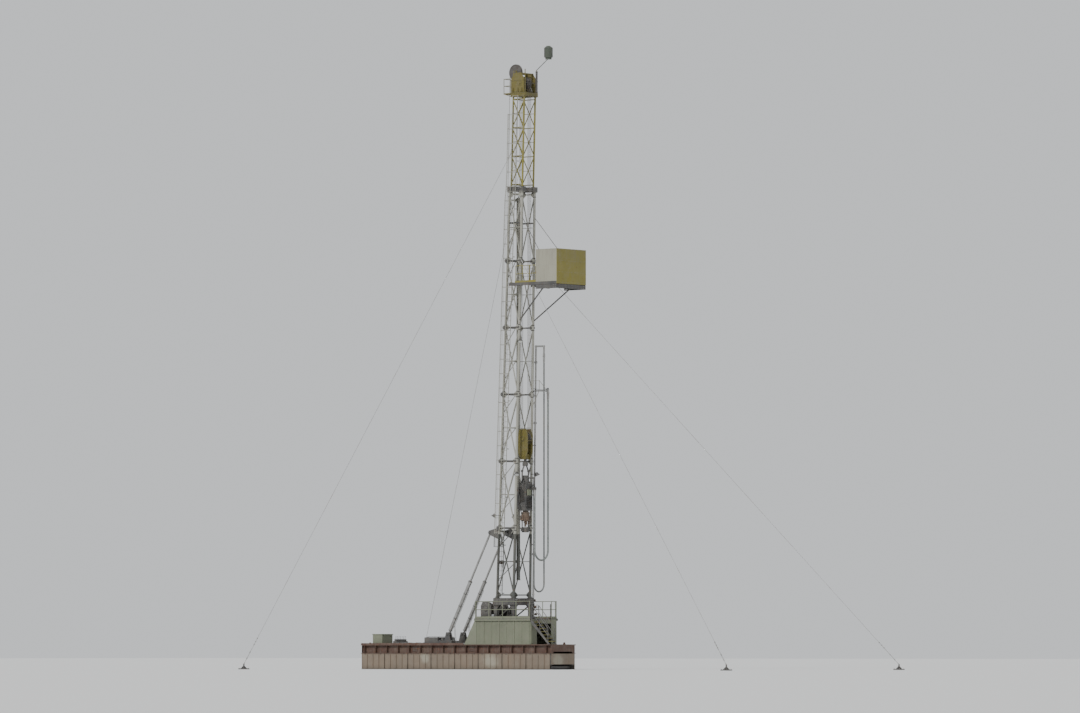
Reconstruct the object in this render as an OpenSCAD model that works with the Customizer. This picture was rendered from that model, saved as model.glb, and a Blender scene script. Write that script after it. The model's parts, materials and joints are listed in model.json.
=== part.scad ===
// Guyed oil drilling rig on a long skid base, in millimetres.
// Origin at the well centre on the ground, X forward over the ramp, Y to the hose side, Z up.

/* [Base] */
// Base length behind the well centre
base_rear = 12600; // [11600:100:13600]
// Base length ahead of the well centre
base_front = 3050; // [2850:50:3400]
// Base width
base_w = 2500; // [2300:50:2800]
// Deck height above the ground
deck_z = 1560; // [1400:20:1700]
// Depth of the main side beams
beam_h = 570; // [450:10:650]
// Height of the skid runners
runner_h = 320; // [260:10:380]
// Width of the well slot through the base
well_w = 1300; // [1100:20:1400]

/* [Drill floor] */
// Top of the drill floor
floor_z = 3160; // [3060:20:3300]
// Rear end of the floor behind the well centre
floor_rear = 3050; // [2950:50:3300]
// Front end of the floor ahead of the well centre
floor_front = 1500; // [1400:20:1560]
// Floor width
floor_w = 2700; // [2600:20:2900]
// Bore of the rotary table
rotary_bore = 444; // [400:4:480]
// Height of the handrails
rail_h = 1100; // [900:50:1200]

/* [Mast] */
// Height of the mast feet
foot_z = 4450; // [4350:50:4600]
// Mast axis at the feet, behind the well centre
foot_back = 950; // [900:10:1000]
// Forward lean of the mast in degrees
lean = 1.58; // [1.45:0.01:1.65]
// Leg spacing across at the feet
foot_w = 1600; // [1540:20:1700]
// Leg spacing fore and aft at the feet
foot_d = 1340; // [1280:20:1400]
// Height of the collar between the sections
collar_z = 30000; // [29500:100:30500]
// Leg spacing across at the collar
collar_w = 1200; // [1160:10:1260]
// Leg spacing fore and aft at the collar
collar_d = 1000; // [960:10:1040]
// Leg spacing across of the top section
top_w = 1060; // [1040:10:1100]
// Leg spacing fore and aft of the top section
top_d = 900; // [880:10:940]
// Height of the top section's head
crown_z = 35800; // [35500:100:36000]
// Diameter of the lower legs
leg_dia = 170; // [150:5:190]
// Diameter of the top section's legs
top_leg_dia = 120; // [100:5:130]
// Diameter of the braces
brace_dia = 76; // [60:2:90]

/* [Racking board] */
// Underside of the racking board
board_z = 23900; // [23500:100:24300]
// Front face of the board ahead of the well centre
board_front = 3750; // [3550:50:3950]
// Board width
board_w = 2830; // [2650:20:3000]
// Length of the side windwalls
board_wall_l = 1700; // [1500:50:1800]
// Height of the board's windwalls
board_wall_h = 2050; // [1900:50:2200]

/* [Hoist] */
// Bottom of the travelling block
block_z = 13100; // [12900:50:13300]
// Height of the travelling block
block_h = 1900; // [1800:20:2000]
// Radius at which the drilling line runs on the sheaves
line_r = 330; // [315:5:340]
// Diameter of the drilling line
line_dia = 28; // [24:1:32]
// Radius of the sheave for the fast line
fast_r = 480; // [440:10:520]
// Bottom of the elevator
elevator_z = 8550; // [8450:50:8650]

/* [Raising rams] */
// Height of the ram pins on the mast
ram_top_z = 8550; // [8350:50:8750]
// Reach of the ram pins behind the well centre
ram_top_back = 2250; // [2200:10:2350]
// Ram foot pins behind the well centre
ram_foot_back = 5700; // [5500:50:5900]
// Height of the ram foot pins
ram_foot_z = 2200; // [2100:20:2300]
// Ram spacing across
ram_w = 1400; // [1340:20:1460]
// Barrel diameter
barrel_dia = 230; // [200:10:260]
// Rod diameter
ram_rod_dia = 130; // [110:10:150]

/* [Guys] */
// Front anchors ahead of the well centre
guy_front = 22700; // [22000:100:22900]
// Rear anchors behind the well centre
guy_rear = 16000; // [15600:100:16200]
// Anchors to each side of the well centre
guy_side = 8500; // [8000:100:9000]
// Guy wire diameter
guy_dia = 24; // [20:2:30]

/* [Hidden] */
$fn = 32;
seat = 0.3;

// Derived sizes
panel_top = deck_z - beam_h;
side_y = base_w / 2;
panel_t = 40;
post_w = 140;
base_l = base_rear + base_front;
wall_t = 30;
deck_t = 20;
floor_t = 40;
floor_beam_h = 260;
sub_y = side_y - wall_t;
sub_rear_low = floor_rear + 900;
ped_z = floor_z + 850;
plate_t = 30;
bays = 6;
top_bays = 3;
collar_h = 300;
board_t = 180;
crown_axis_z = crown_z + 850;
fast_back = 940;
fast_axis_z = crown_z + 1600;
fast_y = 200;
block_axis_z = block_z + block_h - 620;
sheave_ys = [-150, -50, 50, 150];
drum_x = -2500;
drum_z = floor_z + 620;
drum_r = 300;
motor_gap = 110;
drive_top = block_z - 1450;
drive_bottom = drive_top - 1750;
link_y = 300;
line_seat = line_r - line_dia / 2 - seat;

paint_mast = [0.86, 0.86, 0.80];
paint_yellow = [0.75, 0.62, 0.16];
paint_green = [0.46, 0.50, 0.42];
paint_oxide = [0.42, 0.24, 0.18];
paint_beige = [0.70, 0.62, 0.50];
paint_cream = [0.84, 0.81, 0.68];
dark = [0.20, 0.20, 0.19];
steel = [0.60, 0.61, 0.60];
rubber = [0.13, 0.14, 0.14];

// Straight bar with flat sides between two points
module bar(p, q, d, sides = 8) {
    v = q - p;
    l = norm(v);
    translate(p) rotate([0, acos(v[2] / l), atan2(v[1], v[0])]) cylinder(d = d, h = l, $fn = sides);
}

// Round rod between two points
module rod(p, q, d) {
    bar(p, q, d, 32);
}

// Box between two corners
module box(a, b) {
    translate(a) cube(b - a);
}

// Plate whose outline is given in X and Z, from y0 towards the hose side
module plate_xz(y0, t, outline) {
    translate([0, y0 + t, 0]) rotate([90, 0, 0]) linear_extrude(t) polygon(outline);
}

// Pin across the rig
module pin_y(x, y0, y1, z, d) {
    translate([x, y1, z]) rotate([90, 0, 0]) cylinder(d = d, h = y1 - y0, $fn = 32);
}

// Grooved sheave turning about a line across the rig
module sheave(x, y, z, groove_r, rim_r, w, hub_r) {
    translate([x, y, z]) rotate([90, 0, 0]) rotate_extrude($fn = 64) polygon([
        [hub_r, -w / 2], [rim_r, -w / 2], [rim_r, -w / 2 + w * 0.12], [groove_r, -w * 0.18],
        [groove_r, w * 0.18], [rim_r, w / 2 - w * 0.12], [rim_r, w / 2], [hub_r, w / 2]
    ]);
}

// Mast geometry
function axis_x(z) = -foot_back + (z - foot_z) * tan(lean);
function low_t(z) = (z - foot_z) / (collar_z - foot_z);
function half_w(z) = (foot_w + (collar_w - foot_w) * low_t(z)) / 2;
function half_d(z) = (foot_d + (collar_d - foot_d) * low_t(z)) / 2;
function leg_at(side, end, z) = [axis_x(z) + end * half_d(z), side * half_w(z), z];
function top_leg_at(side, end, z) = [axis_x(z) + end * top_d / 2, side * top_w / 2, z];
function level(i) = foot_z + 200 + (collar_z - collar_h / 2 - foot_z - 350) * i / bays;
function top_level(i) = collar_z + collar_h / 2 + 150 + (crown_z - collar_z - collar_h / 2 - 300) * i / top_bays;

// Base
module base_runners() color(dark) {
    for (s = [-1, 1]) {
        y = s * (side_y - 220);
        box([-base_rear, y - 140, 0], [base_front, y + 140, 30]);
        box([-base_rear + 60, y - 12, 30], [base_front - 60, y + 12, runner_h - 30]);
        box([-base_rear, y - 140, runner_h - 30], [base_front, y + 140, runner_h]);
        for (i = [0 : 8]) {
            x = -base_rear + 20 + (base_l - 40 - post_w) * i / 8;
            box([x, y - 140, runner_h], [x + post_w, y + 140, panel_top]);
        }
    }
}

module base_crossbeams() color(dark) {
    y = side_y - 220 - 12;
    rear_pitch = (base_rear - well_w / 2 - 2150) / 5;
    for (i = [0 : 5]) box([-base_rear + 500 + i * rear_pitch, -y, 60], [-base_rear + 660 + i * rear_pitch, y, 220]);
    for (x = [well_w / 2 + 850, base_front - 400]) box([x, -y, 60], [x + 160, y, 220]);
}

module base_beams() color(paint_oxide) {
    y = side_y;
    well = well_w / 2;
    for (s = [-1, 1]) {
        yo = s * (y - 220);
        box([-base_rear, yo - 15, panel_top], [base_front, yo + 15, deck_z - deck_t]);
        box([-base_rear, s * y - (s > 0 ? 300 : 0), panel_top],
            [base_front, s * y + (s > 0 ? 0 : 300), panel_top + 35]);
        box([-base_rear, s * y - (s > 0 ? 300 : 0), deck_z - deck_t - 35],
            [base_front, s * y + (s > 0 ? 0 : 300), deck_z - deck_t]);
    }
    rear_pitch = (base_rear - well - 1950) / 4;
    for (x = [for (i = [0 : 4]) -base_rear + i * rear_pitch, -well - 160, well, base_front - 160])
        box([x, -y + 235 + seat, panel_top + 120], [x + 160, y - 235 - seat, deck_z - deck_t]);
}

module base_deck() color(paint_oxide) {
    well = well_w / 2;
    z = deck_z - deck_t;
    box([-base_rear, -side_y, z], [-well - seat, side_y, deck_z]);
    box([well + seat, -side_y, z], [base_front, side_y, deck_z]);
    box([-well, -side_y, z], [well, -well, deck_z]);
    box([-well, well, z], [well, side_y, deck_z]);
}

module base_side_panels(s) {
    n = 8;
    pitch = (base_l - 40) / n;
    y = s * (side_y - 220 + 140);
    for (i = [0 : n - 1]) {
        x = -base_rear + 20 + pitch * i;
        box([x + 30, min(y, y + s * panel_t), 15], [x + pitch - 30, max(y, y + s * panel_t), panel_top]);
        for (j = [1 : 3])
            box([x + pitch * j / 4 - 25, min(y, y + s * (panel_t + 40)), 60],
                [x + pitch * j / 4 + 25, max(y, y + s * (panel_t + 40)), panel_top - 60]);
    }
}

module base_panels_near() color(paint_beige) base_side_panels(-1);
module base_panels_far() color(paint_beige) base_side_panels(1);

module base_panels_ends() color(paint_beige) {
    for (e = [0, 1]) {
        x = e == 0 ? -base_rear - panel_t + 20 : base_front - 20;
        y = side_y - 150;
        box([x, -y, runner_h], [x + panel_t, y, panel_top]);
        for (j = [-1, 1]) box([x - 15, j * y / 2 - 30, runner_h + 40], [x + panel_t + 15, j * y / 2 + 30, panel_top - 40]);
    }
}

module ram_base() color(dark) {
    rear = ram_foot_back + 1900;
    for (s = [-1, 1]) {
        y = s * ram_w / 2;
        box([-rear, y - 150, deck_z], [-ram_foot_back + 350, y + 150, deck_z + 240]);
        for (k = [-1, 1]) plate_xz(y + k * 115 - 20, 40, [
            [-ram_foot_back - 260, deck_z + 240], [-ram_foot_back + 260, deck_z + 240],
            [-ram_foot_back + 110, ram_foot_z + 130], [-ram_foot_back - 110, ram_foot_z + 130]
        ]);
        pin_y(-ram_foot_back, y - 170, y + 170, ram_foot_z, 90);
    }
    for (x = [-rear + 100, -ram_foot_back - 700])
        box([x, -ram_w / 2 + 150, deck_z], [x + 200, ram_w / 2 - 150, deck_z + 200]);
    box([-rear, -ram_w / 2 - 150, deck_z + 240], [-rear + 1100, ram_w / 2 + 150, deck_z + 440]);
}

// Substructure and drill floor
module sub_frame() color(paint_green) {
    top = floor_z - floor_t;
    low = top - floor_beam_h;
    x0 = -floor_rear + wall_t;
    for (s = [-1, 1]) {
        ya = s > 0 ? sub_y - 180 : -sub_y;
        yb = ya + 180;
        yc = ya + 90;
        for (x = [x0 + 70, -1750, floor_front - 180]) box([x, ya, deck_z], [x + 180, yb, low - seat]);
        box([x0, ya, low], [floor_front, yb, top]);
        bar([x0 + 250 + seat, yc, deck_z + 60], [-1750 - seat, yc, low - 60], 100);
        bar([-1570 + seat, yc, deck_z + 60], [floor_front - 180 - seat, yc, low - 60], 100);
    }
    y = sub_y - 180 - seat;
    for (x = [x0, -1750, -760, 620, floor_front - 140]) box([x, -y, low], [x + 140, y, top]);
    for (s = [-1, 1]) box([-620 + seat, s * 690 - 60, low], [620 - seat, s * 690 + 60, top]);
}

// Side cladding with its stiffeners, sloped at the rear
module floor_side_wall(s) {
    y = s > 0 ? sub_y : -sub_y - wall_t;
    outline = [[-sub_rear_low, deck_z], [floor_front, deck_z], [floor_front, floor_z - floor_t], [-floor_rear, floor_z - floor_t]];
    plate_xz(y, wall_t, outline);
    for (i = [0 : 7]) {
        x = -floor_rear + 120 + i * (floor_rear + floor_front - 240) / 7;
        yo = s > 0 ? y + wall_t : y - 30;
        box([x - 30, yo, deck_z + 40], [x + 30, yo + 30, floor_z - floor_t - 20]);
    }
}

module floor_wall_near() color(paint_green) floor_side_wall(-1);
module floor_wall_far() color(paint_green) floor_side_wall(1);

module floor_wall_rear() color(paint_green) {
    y = sub_y;
    plate_xz(-y, 2 * y, [
        [-sub_rear_low, deck_z], [-sub_rear_low + wall_t, deck_z],
        [-floor_rear + wall_t, floor_z - floor_t], [-floor_rear, floor_z - floor_t]
    ]);
}

module floor_wall_front() color(paint_green) {
    y = sub_y;
    for (s = [-1, 1]) {
        a = s > 0 ? 700 : -y;
        box([floor_front, a, deck_z], [floor_front + wall_t, a + y - 700, floor_z - floor_t]);
    }
}

module drill_floor() color(dark) {
    top = floor_z;
    difference() {
        box([-floor_rear, -floor_w / 2, top - floor_t], [floor_front + wall_t, floor_w / 2, top]);
        translate([0, 0, top - 2 * floor_t]) cylinder(r = 560, h = 3 * floor_t, $fn = 64);
    }
}

module rotary_table() color([0.35, 0.33, 0.30]) difference() {
    union() {
        translate([0, 0, floor_z - floor_t - floor_beam_h + 20]) cylinder(r = 560 - seat, h = floor_beam_h + floor_t - 20, $fn = 64);
        translate([0, 0, floor_z]) cylinder(r = 600, h = 110, $fn = 64);
        translate([0, 0, floor_z + 110]) cylinder(r = 430, h = 50, $fn = 64);
        }
    translate([0, 0, floor_z - 500]) cylinder(d = rotary_bore, h = 900, $fn = 64);
}

// One straight run of handrail from p to q, with posts between
module rail_run(p, q, n, posts = 50) {
    for (i = [0 : n]) {
        c = p + (q - p) * i / n;
        bar(c, c + [0, 0, rail_h], posts);
    }
    for (h = [rail_h - 20, rail_h * 0.52]) bar(p + [0, 0, h], q + [0, 0, h], 44);
}

module floor_rails() color(paint_green) {
    y = floor_w / 2 - 60;
    x0 = -floor_rear + 60;
    x1 = floor_front - 60;
    for (s = [-1, 1]) {
        rail_run([x0, s * y, floor_z], [x1, s * y, floor_z], 4);
        box([x0 + 10, s * y - 6, floor_z], [x1 - 10, s * y + 6, floor_z + 150]);
    }
    rail_run([x0, -y + 90, floor_z], [x0, y - 90, floor_z], 3);
    rail_run([x1, vdoor_y1, floor_z], [x1, y - 90, floor_z], 1);
}

vdoor_y1 = 820;
stair_y0 = -floor_w / 2 + 60;
stair_y1 = stair_y0 + 700;
stair_drop = floor_z - deck_z;
stair_run = base_front - 60 - floor_front - wall_t;

module stair_stringers() {
    x0 = floor_front + wall_t;
    for (y = [stair_y0, stair_y1 - 30]) plate_xz(y, 30, [
        [x0, floor_z - floor_t], [x0, floor_z - 260], [x0 + stair_run - 60, deck_z], [x0 + stair_run + 60, deck_z],
        [x0 + stair_run + 60, deck_z + 40], [x0 + 40, floor_z - floor_t]
    ]);
}

module stairs() color(dark) {
    x0 = floor_front + wall_t;
    n = 7;
    stair_stringers();
    for (i = [1 : n]) {
        x = x0 + stair_run * i / (n + 1);
        z = floor_z - stair_drop * i / (n + 1);
        box([x - 110, stair_y0 + 30 - seat, z - 30], [x + 110, stair_y1 - 30 + seat, z]);
    }
}

// Handrails of the stairs, their posts cut to the slope of the stringers
module stair_rails() color(dark) {
    x0 = floor_front + wall_t + 80;
    x1 = x0 + stair_run - 160;
    k = stair_drop / stair_run;
    for (y = [stair_y0, stair_y1 - 30]) {
        difference() {
            for (x = [x0, (x0 + x1) / 2, x1]) {
                z = floor_z - 60 - (x - x0) * k;
                box([x - 20, y + 3, max(z - 120, deck_z + seat)], [x + 20, y + 27, z + 880]);
            }
            stair_stringers();
        }
        for (h = [880, 430])
            bar([x0, y + 15, floor_z - 60 + h], [x1, y + 15, floor_z - 60 + h - (x1 - x0) * k], 42);
    }
}

// Drawworks behind the mast
module drawworks_frame() color(dark) {
    for (s = [-1, 1]) plate_xz(s * 820 - 40, 80, [
        [drum_x - 420, floor_z], [drum_x + 420, floor_z], [drum_x + 420, drum_z + 150],
        [drum_x + 200, drum_z + 480], [drum_x - 250, drum_z + 480], [drum_x - 420, drum_z + 200]
    ]);
    for (x = [drum_x - 420, drum_x + 320]) box([x, -780, floor_z], [x + 100, 780, floor_z + 130]);
    box([drum_x - 200, -780, drum_z + 440], [drum_x + 200, 780, drum_z + 480]);
    box([drum_x - 380, 860, floor_z], [drum_x + 380, floor_w / 2 - 60 - motor_gap, floor_z + 620]);
}

module drawworks_drum() color([0.45, 0.43, 0.38]) {
    pin_y(drum_x, -780, 780, drum_z, 150);
    pin_y(drum_x, -560, 560, drum_z, 2 * drum_r);
    for (y = [-600, 560]) pin_y(drum_x, y, y + 40, drum_z, 2 * drum_r + 230);
    pin_y(drum_x, -720, -640, drum_z, 2 * drum_r + 180);
}

// Mast
module mast_pedestal() color(dark) {
    x0 = axis_x(foot_z) - foot_d / 2 - 190;
    x1 = axis_x(foot_z) + foot_d / 2 + 190;
    for (s = [-1, 1]) {
        y = s * foot_w / 2;
        box([x0, y - 170, ped_z], [x1, y + 170, foot_z]);
        for (x = [x0 + 20, x1 - 260]) box([x, y - 120, floor_z], [x + 240, y + 120, ped_z]);
        bar([x0 + 260, y, floor_z + 60], [x1 - 260, y, ped_z - 20], 90);
    }
    box([x0, -foot_w / 2 + 170, ped_z + 60], [x0 + 200, foot_w / 2 - 170, foot_z - 60]);
}

// One side of the lower section, in its own plane
module mast_side(s) {
    head = collar_z - collar_h / 2;
    for (e = [-1, 1]) {
        mast_leg(s, e);
        for (z = [foot_z, head - plate_t]) {
            c = leg_at(s, e, z);
            box([c[0] - 130, c[1] - 130, z], [c[0] + 130, c[1] + 130, z + plate_t]);
        }
    }
    for (i = [0 : bays]) bar(leg_at(s, -1, level(i)), leg_at(s, 1, level(i)), brace_dia);
    for (i = [0 : bays - 1]) for (e = [-1, 1])
        bar(leg_at(s, e, level(i) + 90), leg_at(s, -e, level(i + 1) - 90), brace_dia);
}

module mast_near() color(paint_mast) mast_side(-1);
module mast_far() color(paint_mast) mast_side(1);

module mast_leg(s, e) bar(leg_at(s, e, foot_z + 5), leg_at(s, e, collar_z - collar_h / 2 - 5), leg_dia);
module top_leg(s, e) bar(top_leg_at(s, e, collar_z + collar_h / 2 + 5), top_leg_at(s, e, crown_z - 5), top_leg_dia);

// Braces between the rear legs, coped to fit round them
module mast_back() color(paint_mast) difference() {
    union() {
        for (i = [0 : bays]) bar(leg_at(-1, -1, level(i)), leg_at(1, -1, level(i)), brace_dia);
        for (i = [0 : bays - 1]) for (s = [-1, 1])
            bar(leg_at(s, -1, level(i) + 90), leg_at(-s, -1, level(i + 1) - 90), brace_dia);
    }
    for (s = [-1, 1]) mast_leg(s, -1);
}

module mast_collar() color(dark) {
    c = axis_x(collar_z);
    z0 = collar_z - collar_h / 2;
    z1 = collar_z + collar_h / 2;
    for (s = [-1, 1]) {
        y = s * (collar_w + top_w) / 4;
        box([c - collar_d / 2 - 150, y - 150, z0], [c + collar_d / 2 + 150, y + 150, z1]);
    }
    box([c - collar_d / 2 - 150, -collar_w / 2, z0 + 40], [c - collar_d / 2 + 30, collar_w / 2, z1 - 40]);
}

module top_side(s) {
    foot = collar_z + collar_h / 2;
    for (e = [-1, 1]) {
        top_leg(s, e);
        for (z = [foot, crown_z - 20]) {
            c = top_leg_at(s, e, z);
            box([c[0] - 85, c[1] - 85, z], [c[0] + 85, c[1] + 85, z + 20]);
        }
    }
    for (i = [0 : top_bays]) bar(top_leg_at(s, -1, top_level(i)), top_leg_at(s, 1, top_level(i)), 60);
    for (i = [0 : top_bays - 1]) for (e = [-1, 1])
        bar(top_leg_at(s, e, top_level(i) + 60), top_leg_at(s, -e, top_level(i + 1) - 60), 60);
}

module top_near() color(paint_yellow) top_side(-1);
module top_far() color(paint_yellow) top_side(1);

module top_back() color(paint_yellow) difference() {
    union() {
        for (i = [0 : top_bays]) bar(top_leg_at(-1, -1, top_level(i)), top_leg_at(1, -1, top_level(i)), 60);
        for (i = [0 : top_bays - 1]) for (s = [-1, 1])
            bar(top_leg_at(s, -1, top_level(i) + 60), top_leg_at(-s, -1, top_level(i + 1) - 60), 60);
    }
    for (s = [-1, 1]) top_leg(s, -1);
}

// Crown
crown_x = axis_x(crown_z);
crown_hx = top_d / 2 + 150;
crown_hy = top_w / 2 + 90;

module crown_post(s) {
    p = [crown_x + crown_hx - 60, s * (crown_hy - 60), crown_z + 260];
    bar(p, p + [0, 0, 1440], 60);
}

module crown_frame() color(paint_yellow) {
    for (s = [-1, 1]) box([crown_x - crown_hx, s * top_w / 2 - 90, crown_z], [crown_x + crown_hx, s * top_w / 2 + 90, crown_z + 260]);
    for (e = [0, 1]) {
        x = e == 0 ? crown_x - crown_hx : crown_x + crown_hx - 110;
        box([x, -top_w / 2 + 90, crown_z + 20], [x + 110, top_w / 2 - 90, crown_z + 240]);
    }
    ledge = crown_x - crown_hx;
    for (k = [-1, 1]) {
        y = fast_y + k * 75 - 12;
        plate_xz(y, 24, [
            [ledge + 110, crown_z + 240], [ledge, crown_z + 240], [ledge - 550, crown_z + 700],
            [ledge - 550, crown_z + 900], [-fast_back - 120, fast_axis_z + 110],
            [-fast_back + 120, fast_axis_z + 110], [ledge + 110, crown_z + 800]
        ]);
    }
    pin_y(-fast_back, fast_y - 110, fast_y + 110, fast_axis_z, 110);
    bar([ledge - 20, fast_y - 75, crown_z + 420], [ledge - 20, fast_y + 75, crown_z + 420], 60);
    for (s = [-1, 1]) crown_post(s);
}

module crown_cheeks() color(paint_yellow) {
    z0 = crown_z + 260;
    z1 = crown_z + 1500;
    for (s = [-1, 1]) plate_xz(s * (crown_hy - 60) - 15, 30, [
        [crown_x - crown_hx + 20, z0], [crown_x + crown_hx - 150, z0], [crown_x + crown_hx - 150, z1 - 350],
        [crown_x + crown_hx - 380, z1], [crown_x - crown_hx + 300, z1], [crown_x - crown_hx + 20, z1 - 350]
    ]);
    for (e = [-1, 1]) box([crown_x + e * 240 - 60, -crown_hy + 75, z1 - 80], [crown_x + e * 240 + 60, crown_hy - 75, z1 - 20]);
    pin_y(0, -crown_hy + 75, crown_hy - 75, crown_axis_z, 130);
}

module crown_sheaves() color(dark) for (y = sheave_ys) {
    sheave(0, y, crown_axis_z, line_seat, line_r + 30, 84, 65);
}

module fast_sheave() color(dark) {
    sheave(-fast_back, fast_y, fast_axis_z, fast_r - line_dia / 2 - seat, fast_r + 35, 110, 55);
}

module beacon() color([0.28, 0.32, 0.26]) {
    p = [crown_x + crown_hx - 60, crown_hy - 60, crown_z + 1690];
    q = [900, 1180, crown_z + 2450];
    difference() {
        bar(p, q, 44);
        crown_post(1);
    }
    translate(q - [0, 0, 60]) cylinder(r = 200, h = 120);
    translate(q + [0, 0, 60]) cylinder(r = 260, h = 620);
    translate(q + [0, 0, 680]) cylinder(r1 = 250, r2 = 120, h = 110);
}

// Racking board
board_x0 = leg_at(1, 1, board_z)[0];
board_hy = board_w / 2;
board_wall_x = board_front - board_wall_l;
board_walk = 260;
board_stay_rise = 4300;
board_brace_drop = 2100;
fingers = 6;
finger_w = 70;
finger_pitch = (board_wall_l - 640) / (fingers - 1);

module board_frame() color(dark) difference() {
    board_steel();
    for (s = [-1, 1]) mast_leg(s, 1);
}

module board_steel() {
    z0 = board_z;
    z1 = board_z + board_t;
    for (s = [-1, 1]) {
        y = s * (board_hy - 70);
        box([board_x0 - 300, y - 60, z0], [board_front - 30, y + 60, z1]);
        inner = leg_at(s, 1, board_z + board_t / 2);
        box([inner[0] - 300, min(y, s * (half_w(board_z) + leg_dia * 0.46)), z0 + 20], [inner[0] + 300, max(y, s * (half_w(board_z) + leg_dia * 0.46)), z1 - 20]);
        bar([board_front - 200, y, z1 - 30], leg_at(s, 1, board_z + board_stay_rise) + [leg_dia * 0.4, 0, 0], 40);
        bar([board_wall_x + 750, y, z0 + 20], leg_at(s, 1, board_z - board_brace_drop) + [leg_dia * 0.4, s * leg_dia * 0.2, 0], 90);
    }
    for (x = [board_x0 + 900, board_wall_x, board_front - 150])
        box([x, -board_hy + 130, z0 + 20], [x + 120, board_hy - 130, z1]);
}

module board_floor() color(dark) {
    z = board_z + board_t;
    box([board_front - 480, -board_hy + 130, z], [board_front - 30, board_hy - 130, z + 40]);
    box([board_x0 + 880, -board_walk, z], [board_front - 480, board_walk, z + 40]);
}

module board_fingers() color(paint_yellow) {
    z = board_z + board_t;
    for (s = [-1, 1]) for (i = [0 : fingers - 1]) {
        x = board_wall_x + 60 + i * finger_pitch;
        y0 = s * (board_walk + 40);
        y1 = s * (board_hy - 60);
        box([x, min(y0, y1), z], [x + finger_w, max(y0, y1), z + 90]);
    }
}

module board_side_wall(s) {
    y = s > 0 ? board_hy - 40 : -board_hy;
    z0 = board_z + board_t;
    box([board_wall_x, y, z0], [board_front - 30, y + 40, board_z + board_wall_h + 150]);
    for (x = [board_wall_x, board_wall_x + board_wall_l / 2 - 40, board_front - 110])
        box([x, s > 0 ? y - 50 : y + 40, z0], [x + 60, s > 0 ? y : y + 90, board_z + board_wall_h + 150]);
}

module board_wall_near() color(paint_cream) board_side_wall(-1);
module board_wall_far() color(paint_cream) board_side_wall(1);

module board_wall_front() color(paint_yellow) {
    z0 = board_z + 20;
    z1 = board_z + board_wall_h + 150;
    box([board_front - 30, -board_hy, z0], [board_front, board_hy, z1]);
    for (y = [-board_hy + 130, -480, 420, board_hy - 190])
        box([board_front - 80, y, z0 + 200], [board_front - 30, y + 60, z1]);
}

// Standpipe up the far front leg
module standpipe() color(steel) {
    reach = 150;
    off = [60, leg_dia / 2 + reach, 0];
    z0 = foot_z + 250;
    z1 = 20200;
    pipe = 114;
    p = leg_at(1, 1, z0) + off;
    q = leg_at(1, 1, z1) + off;
    neck = [rotary_a[0], rotary_a[1], rotary_top + 620];
    rod([p[0], p[1], floor_z], p, pipe);
    rod(p, q, pipe);
    rod(q, neck, pipe);
    rod(neck, [rotary_a[0], rotary_a[1], rotary_top], pipe);
    for (c = [p, q, neck]) translate(c) sphere(d = pipe * 1.35);
    translate([rotary_a[0], rotary_a[1], rotary_top]) cylinder(d = pipe * 1.3, h = 140);
    for (i = [1 : 4]) {
        z = z0 + (z1 - z0) * i / 5;
        c = leg_at(1, 1, z);
        difference() {
            box([c[0] - 20, c[1], z - 40], [c[0] + 90, c[1] + leg_dia / 2 + reach, z + 40]);
            mast_leg(1, 1);
        }
    }
    z = loop_top;
    c = leg_at(1, 1, z);
    difference() {
        bar(c + [0, 0, 100], [loop_a[0] + 45, c[1], z + 100], 90);
        mast_leg(1, 1);
    }
    bar([loop_a[0], c[1] - 45, z + 100], [loop_a[0], loop_a[1], z + 100], 90);
    translate([loop_a[0], loop_a[1], z]) cylinder(d = loop_d * 1.2, h = 220);
}

// Raising rams behind the mast
module ram_yoke() color(dark) {
    for (s = [-1, 1]) {
        y = s * ram_w / 2;
        c = leg_at(s, -1, ram_top_z);
        difference() {
            for (k = [-1, 1]) plate_xz(y + k * 95 - 15, 30, [
                [c[0] - 50, ram_top_z - 420], [c[0] - 50, ram_top_z + 300],
                [-ram_top_back - 60, ram_top_z + 120], [-ram_top_back - 110, ram_top_z], [-ram_top_back - 60, ram_top_z - 120]
            ]);
            mast_leg(s, -1);
        }
        pin_y(-ram_top_back, y - 130, y + 130, ram_top_z, 90);
    }
    box([-ram_top_back + 250, -ram_w / 2 + 109, ram_top_z + 20], [-ram_top_back + 430, ram_w / 2 - 109, ram_top_z + 140]);
}

ram_top = [-ram_top_back, 0, ram_top_z];
ram_foot = [-ram_foot_back, 0, ram_foot_z];
ram_dir = (ram_top - ram_foot) / norm(ram_top - ram_foot);
ram_mid = ram_foot + ram_dir * norm(ram_top - ram_foot) * 0.52;

module ram_barrels() color(steel) for (s = [-1, 1]) {
    off = [0, s * ram_w / 2, 0];
    difference() {
        union() {
            rod(ram_foot + off + ram_dir * 60, ram_foot + off + ram_dir * 320, 130);
            rod(ram_foot + off + ram_dir * 280, ram_mid + off, barrel_dia);
            pin_y(-ram_foot_back, s * ram_w / 2 - 85, s * ram_w / 2 + 85, ram_foot_z, 200);
            rod(ram_mid + off - ram_dir * 60, ram_mid + off, barrel_dia + 50);
        }
        pin_y(-ram_foot_back, s * ram_w / 2 - 100, s * ram_w / 2 + 100, ram_foot_z, 90 + 2 * seat);
    }
}

module ram_rods() color(steel) for (s = [-1, 1]) {
    off = [0, s * ram_w / 2, 0];
    difference() {
        union() {
            rod(ram_mid + off + ram_dir * 2 * seat, ram_top + off - ram_dir * 60, ram_rod_dia);
            pin_y(-ram_top_back, s * ram_w / 2 - 70, s * ram_w / 2 + 70, ram_top_z, 190);
        }
        pin_y(-ram_top_back, s * ram_w / 2 - 90, s * ram_w / 2 + 90, ram_top_z, 90 + 2 * seat);
    }
}

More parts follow.
